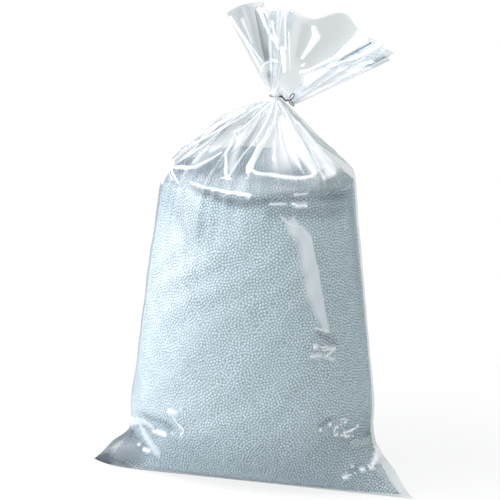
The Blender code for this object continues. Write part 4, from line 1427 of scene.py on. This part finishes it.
def floor_material():
    """Pale floor that shows white to the camera and keeps the bag's shadow."""
    material, tree = new_material("pale_floor")
    matt = add_node(tree, "ShaderNodeBsdfDiffuse", {"Color": FLOOR_COLOUR})
    white = add_node(tree, "ShaderNodeEmission", {"Color": WHITE})
    place = add_node(tree, "ShaderNodeTexCoord")
    away = add_node(tree, "ShaderNodeVectorMath", {0: place.outputs["Object"]}, operation="LENGTH")
    (near, far), (shaded, clean) = FLOOR_FADE, FLOOR_WHITE
    fade = add_node(tree, "ShaderNodeMapRange", interpolation_type="SMOOTHSTEP", inputs={
        "Value": away.outputs["Value"], "From Min": near, "From Max": far,
        "To Min": shaded, "To Max": clean})
    share = add_node(tree, "ShaderNodeMath", operation="MULTIPLY", inputs={
        0: white_to_camera(tree), 1: fade.outputs["Result"]})
    both = mixed_shader(tree, share.outputs[0], matt, white)
    add_node(tree, "ShaderNodeOutputMaterial", {"Surface": both.outputs[0]})
    return material


def white_world(strength):
    """World that shows white and lights softly from all round."""
    world = bpy.data.worlds.new("white_room")
    bpy.context.scene.world = world
    world.use_nodes = True
    tree = world.node_tree
    tree.nodes.clear()
    lighting = add_node(tree, "ShaderNodeBackground", {"Color": SKY_COLOUR, "Strength": strength})
    shown = add_node(tree, "ShaderNodeBackground", {"Color": WHITE})
    both = mixed_shader(tree, white_to_camera(tree), lighting, shown)
    add_node(tree, "ShaderNodeOutputWorld", {"Surface": both.outputs[0]})


def area_light(name, place, target, size, power, colour):
    """A rectangular light that faces a target."""
    data = bpy.data.lights.new(name, "AREA")
    data.shape = "RECTANGLE"
    data.size, data.size_y = size
    data.energy = power
    data.color = colour
    light = bpy.data.objects.new(name, data)
    light.location = place
    light.rotation_mode = "QUATERNION"
    light.rotation_quaternion = (Vector(target) - Vector(place)).to_track_quat("-Z", "Y")
    bpy.context.scene.collection.objects.link(light)


class BAG_OT_film(bpy.types.Operator):
    """Make the film tube, filled, gathered and flared"""

    bl_idname = "bead_bag.film"
    bl_label = "Film"

    def execute(self, context):
        rings, neck = film_rings(FILM_COLUMNS, BODY_ROW_STEP, FOLD_ROW_STEP)
        relaxed = relax_film(rings, neck, fold_seeds(rings, neck))
        shift = soften(relaxed - rings, FOLD_SOFTENING)
        rings = rings + shift * looseness(rings, neck)[..., None]
        film = grid_object("film_tube", rings, True, False)
        film.data.materials.append(film_material(context.scene.bead_bag_film))
        front = film.data.attributes.new("front", "FLOAT", "POINT")
        columns = np.tile(np.arange(FILM_COLUMNS), len(rings))
        front.data.foreach_set("value", (columns > FILM_COLUMNS // 2).astype(np.float32))
        # Milk and painted light of the sharp folds, whose whitening is partly a painted highlight
        milk = film.data.attributes.new("milk", "FLOAT", "POINT")
        over_beads = rings[:, :, 2] < FILL_HEIGHT
        fold_milk_and_highlight = np.where(over_beads, 0.0, sharp_folds(rings))
        milk.data.foreach_set("value", fold_milk_and_highlight.ravel().astype(np.float32))
        refine_creases(film, True, BODY_CUTS)
        refine_creases(film, False, FOLD_CUTS)
        press_creases(film)
        film.data.shade_smooth()
        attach(film, BODY)
        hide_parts("bag_film")
        return {"FINISHED"}


class BAG_OT_beads(bpy.types.Operator):
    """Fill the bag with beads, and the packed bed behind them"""

    bl_idname = "bead_bag.beads"
    bl_label = "Beads"

    def execute(self, context):
        settings = context.scene.bead_bag_beads
        # The packed bed behind the beads takes a darker copy of their colour, as painted shade between
        # them
        bed = grid_object("packed_bed", fill_rings(settings.diameter * BED_INSET + FILM_GAP), True, True)
        bed.data.materials.append(bead_material(settings, "packed_bed", BED_PAINTED_SHADE))
        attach(bed, BODY)
        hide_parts("bead_fill")
        places = bead_places(settings)
        material = bead_material(settings, "expanded_beads", 1.0)
        # The beads of the heap take a darker copy of the bead colour, as painted shade
        painted_shade_heap_material = bead_material(settings, "beads_of_the_heap", HEAP_PAINTED_SHADE)
        bead = round_bead(settings.diameter)
        quarter = np.floor((np.arctan2(places[:, 1], places[:, 0]) / math.tau + 0.5) * 4).astype(int) % 4
        top = places[:, 2] > FILL_HEIGHT
        groups = {"beads_top": top}
        for index, name in enumerate(("beads_front_left", "beads_front_right",
                                      "beads_back_right", "beads_back_left")):
            groups[name] = (quarter == index) & ~top
        for number, (name, chosen) in enumerate(groups.items()):
            beads = point_object(name, places[chosen])
            paint = painted_shade_heap_material if name == "beads_top" else material
            apply_nodes(beads, bead_tree(bead, paint, settings.seed + SEED_STEP * number))
            beads.data.shade_smooth()
            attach(beads, BODY)
        bpy.data.objects.remove(bead, do_unlink=True)
        return {"FINISHED"}


class BAG_OT_tie(bpy.types.Operator):
    """Finish the wire tie"""

    bl_idname = "bead_bag.tie"
    bl_label = "Wire tie"

    def execute(self, context):
        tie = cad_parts["wire_tie"]
        tie.data.materials.clear()
        tie.data.materials.append(tie_material(context.scene.bead_bag_tie))
        return {"FINISHED"}


class BAG_OT_stage(bpy.types.Operator):
    """Make the floor, the lights, the world and the camera"""

    bl_idname = "bead_bag.stage"
    bl_label = "Stage"

    def execute(self, context):
        settings = context.scene.bead_bag_stage
        deselect_all()
        bpy.ops.mesh.primitive_plane_add(size=FLOOR_SIZE, location=(0.0, 0.0, -FLOOR_DROP))
        floor = bpy.context.active_object
        floor.name = "floor"
        floor.data.materials.append(floor_material())
        white_world(settings.sky)
        for name, place, target, size, colour in LIGHTS:
            area_light(name + "_light", place, target, size, getattr(settings, name), colour)
        data = bpy.data.cameras.new("camera")
        data.lens = CAMERA_LENS
        data.sensor_width = SENSOR_WIDTH
        camera = bpy.data.objects.new("camera", data)
        place = Vector((CAMERA_DISTANCE * math.sin(CAMERA_AZIMUTH),
                        -CAMERA_DISTANCE * math.cos(CAMERA_AZIMUTH), CAMERA_HEIGHT))
        camera.location = place
        camera.rotation_mode = "QUATERNION"
        look = (Vector(CAMERA_TARGET) - place).to_track_quat("-Z", "Y")
        camera.rotation_quaternion = look @ Quaternion((0.0, 0.0, 1.0), CAMERA_ROLL)
        context.scene.collection.objects.link(camera)
        context.scene.camera = camera
        context.scene.view_settings.view_transform = "Standard"
        context.scene.cycles.transparent_max_bounces = FILM_LAYERS
        return {"FINISHED"}


class BAG_PT_panel(bpy.types.Panel):
    """Buttons and sizes of the bead bag"""

    bl_idname = "BAG_PT_panel"
    bl_label = "Bead bag"
    bl_space_type = "VIEW_3D"
    bl_region_type = "UI"
    bl_category = "Bead bag"

    def draw(self, context):
        for name, _, operator in PANEL_ROWS:
            box = self.layout.box()
            settings = getattr(context.scene, name)
            for prop in settings.bl_rna.properties:
                if not prop.is_readonly and prop.identifier != "name":
                    box.prop(settings, prop.identifier)
            box.operator(operator)


PANEL_ROWS = (
    ("bead_bag_film", FilmSettings, "bead_bag.film"),
    ("bead_bag_beads", BeadSettings, "bead_bag.beads"),
    ("bead_bag_tie", TieSettings, "bead_bag.tie"),
    ("bead_bag_stage", StageSettings, "bead_bag.stage"),
)
CLASSES = (
    FilmSettings, BeadSettings, TieSettings, StageSettings,
    BAG_OT_film, BAG_OT_beads, BAG_OT_tie, BAG_OT_stage, BAG_PT_panel,
)


def register():
    """Register the classes and their settings."""
    for item in CLASSES:
        bpy.utils.register_class(item)
    for name, group, _ in PANEL_ROWS:
        setattr(bpy.types.Scene, name, PointerProperty(type=group))


def unregister():
    """Remove the settings and the classes."""
    for name, _, _ in PANEL_ROWS:
        delattr(bpy.types.Scene, name)
    for item in reversed(CLASSES):
        bpy.utils.unregister_class(item)


def main():
    """Build the bag and its stage."""
    register()
    bpy.ops.bead_bag.film()
    bpy.ops.bead_bag.beads()
    bpy.ops.bead_bag.tie()
    bpy.ops.bead_bag.stage()


if __name__ == "__main__":
    main()
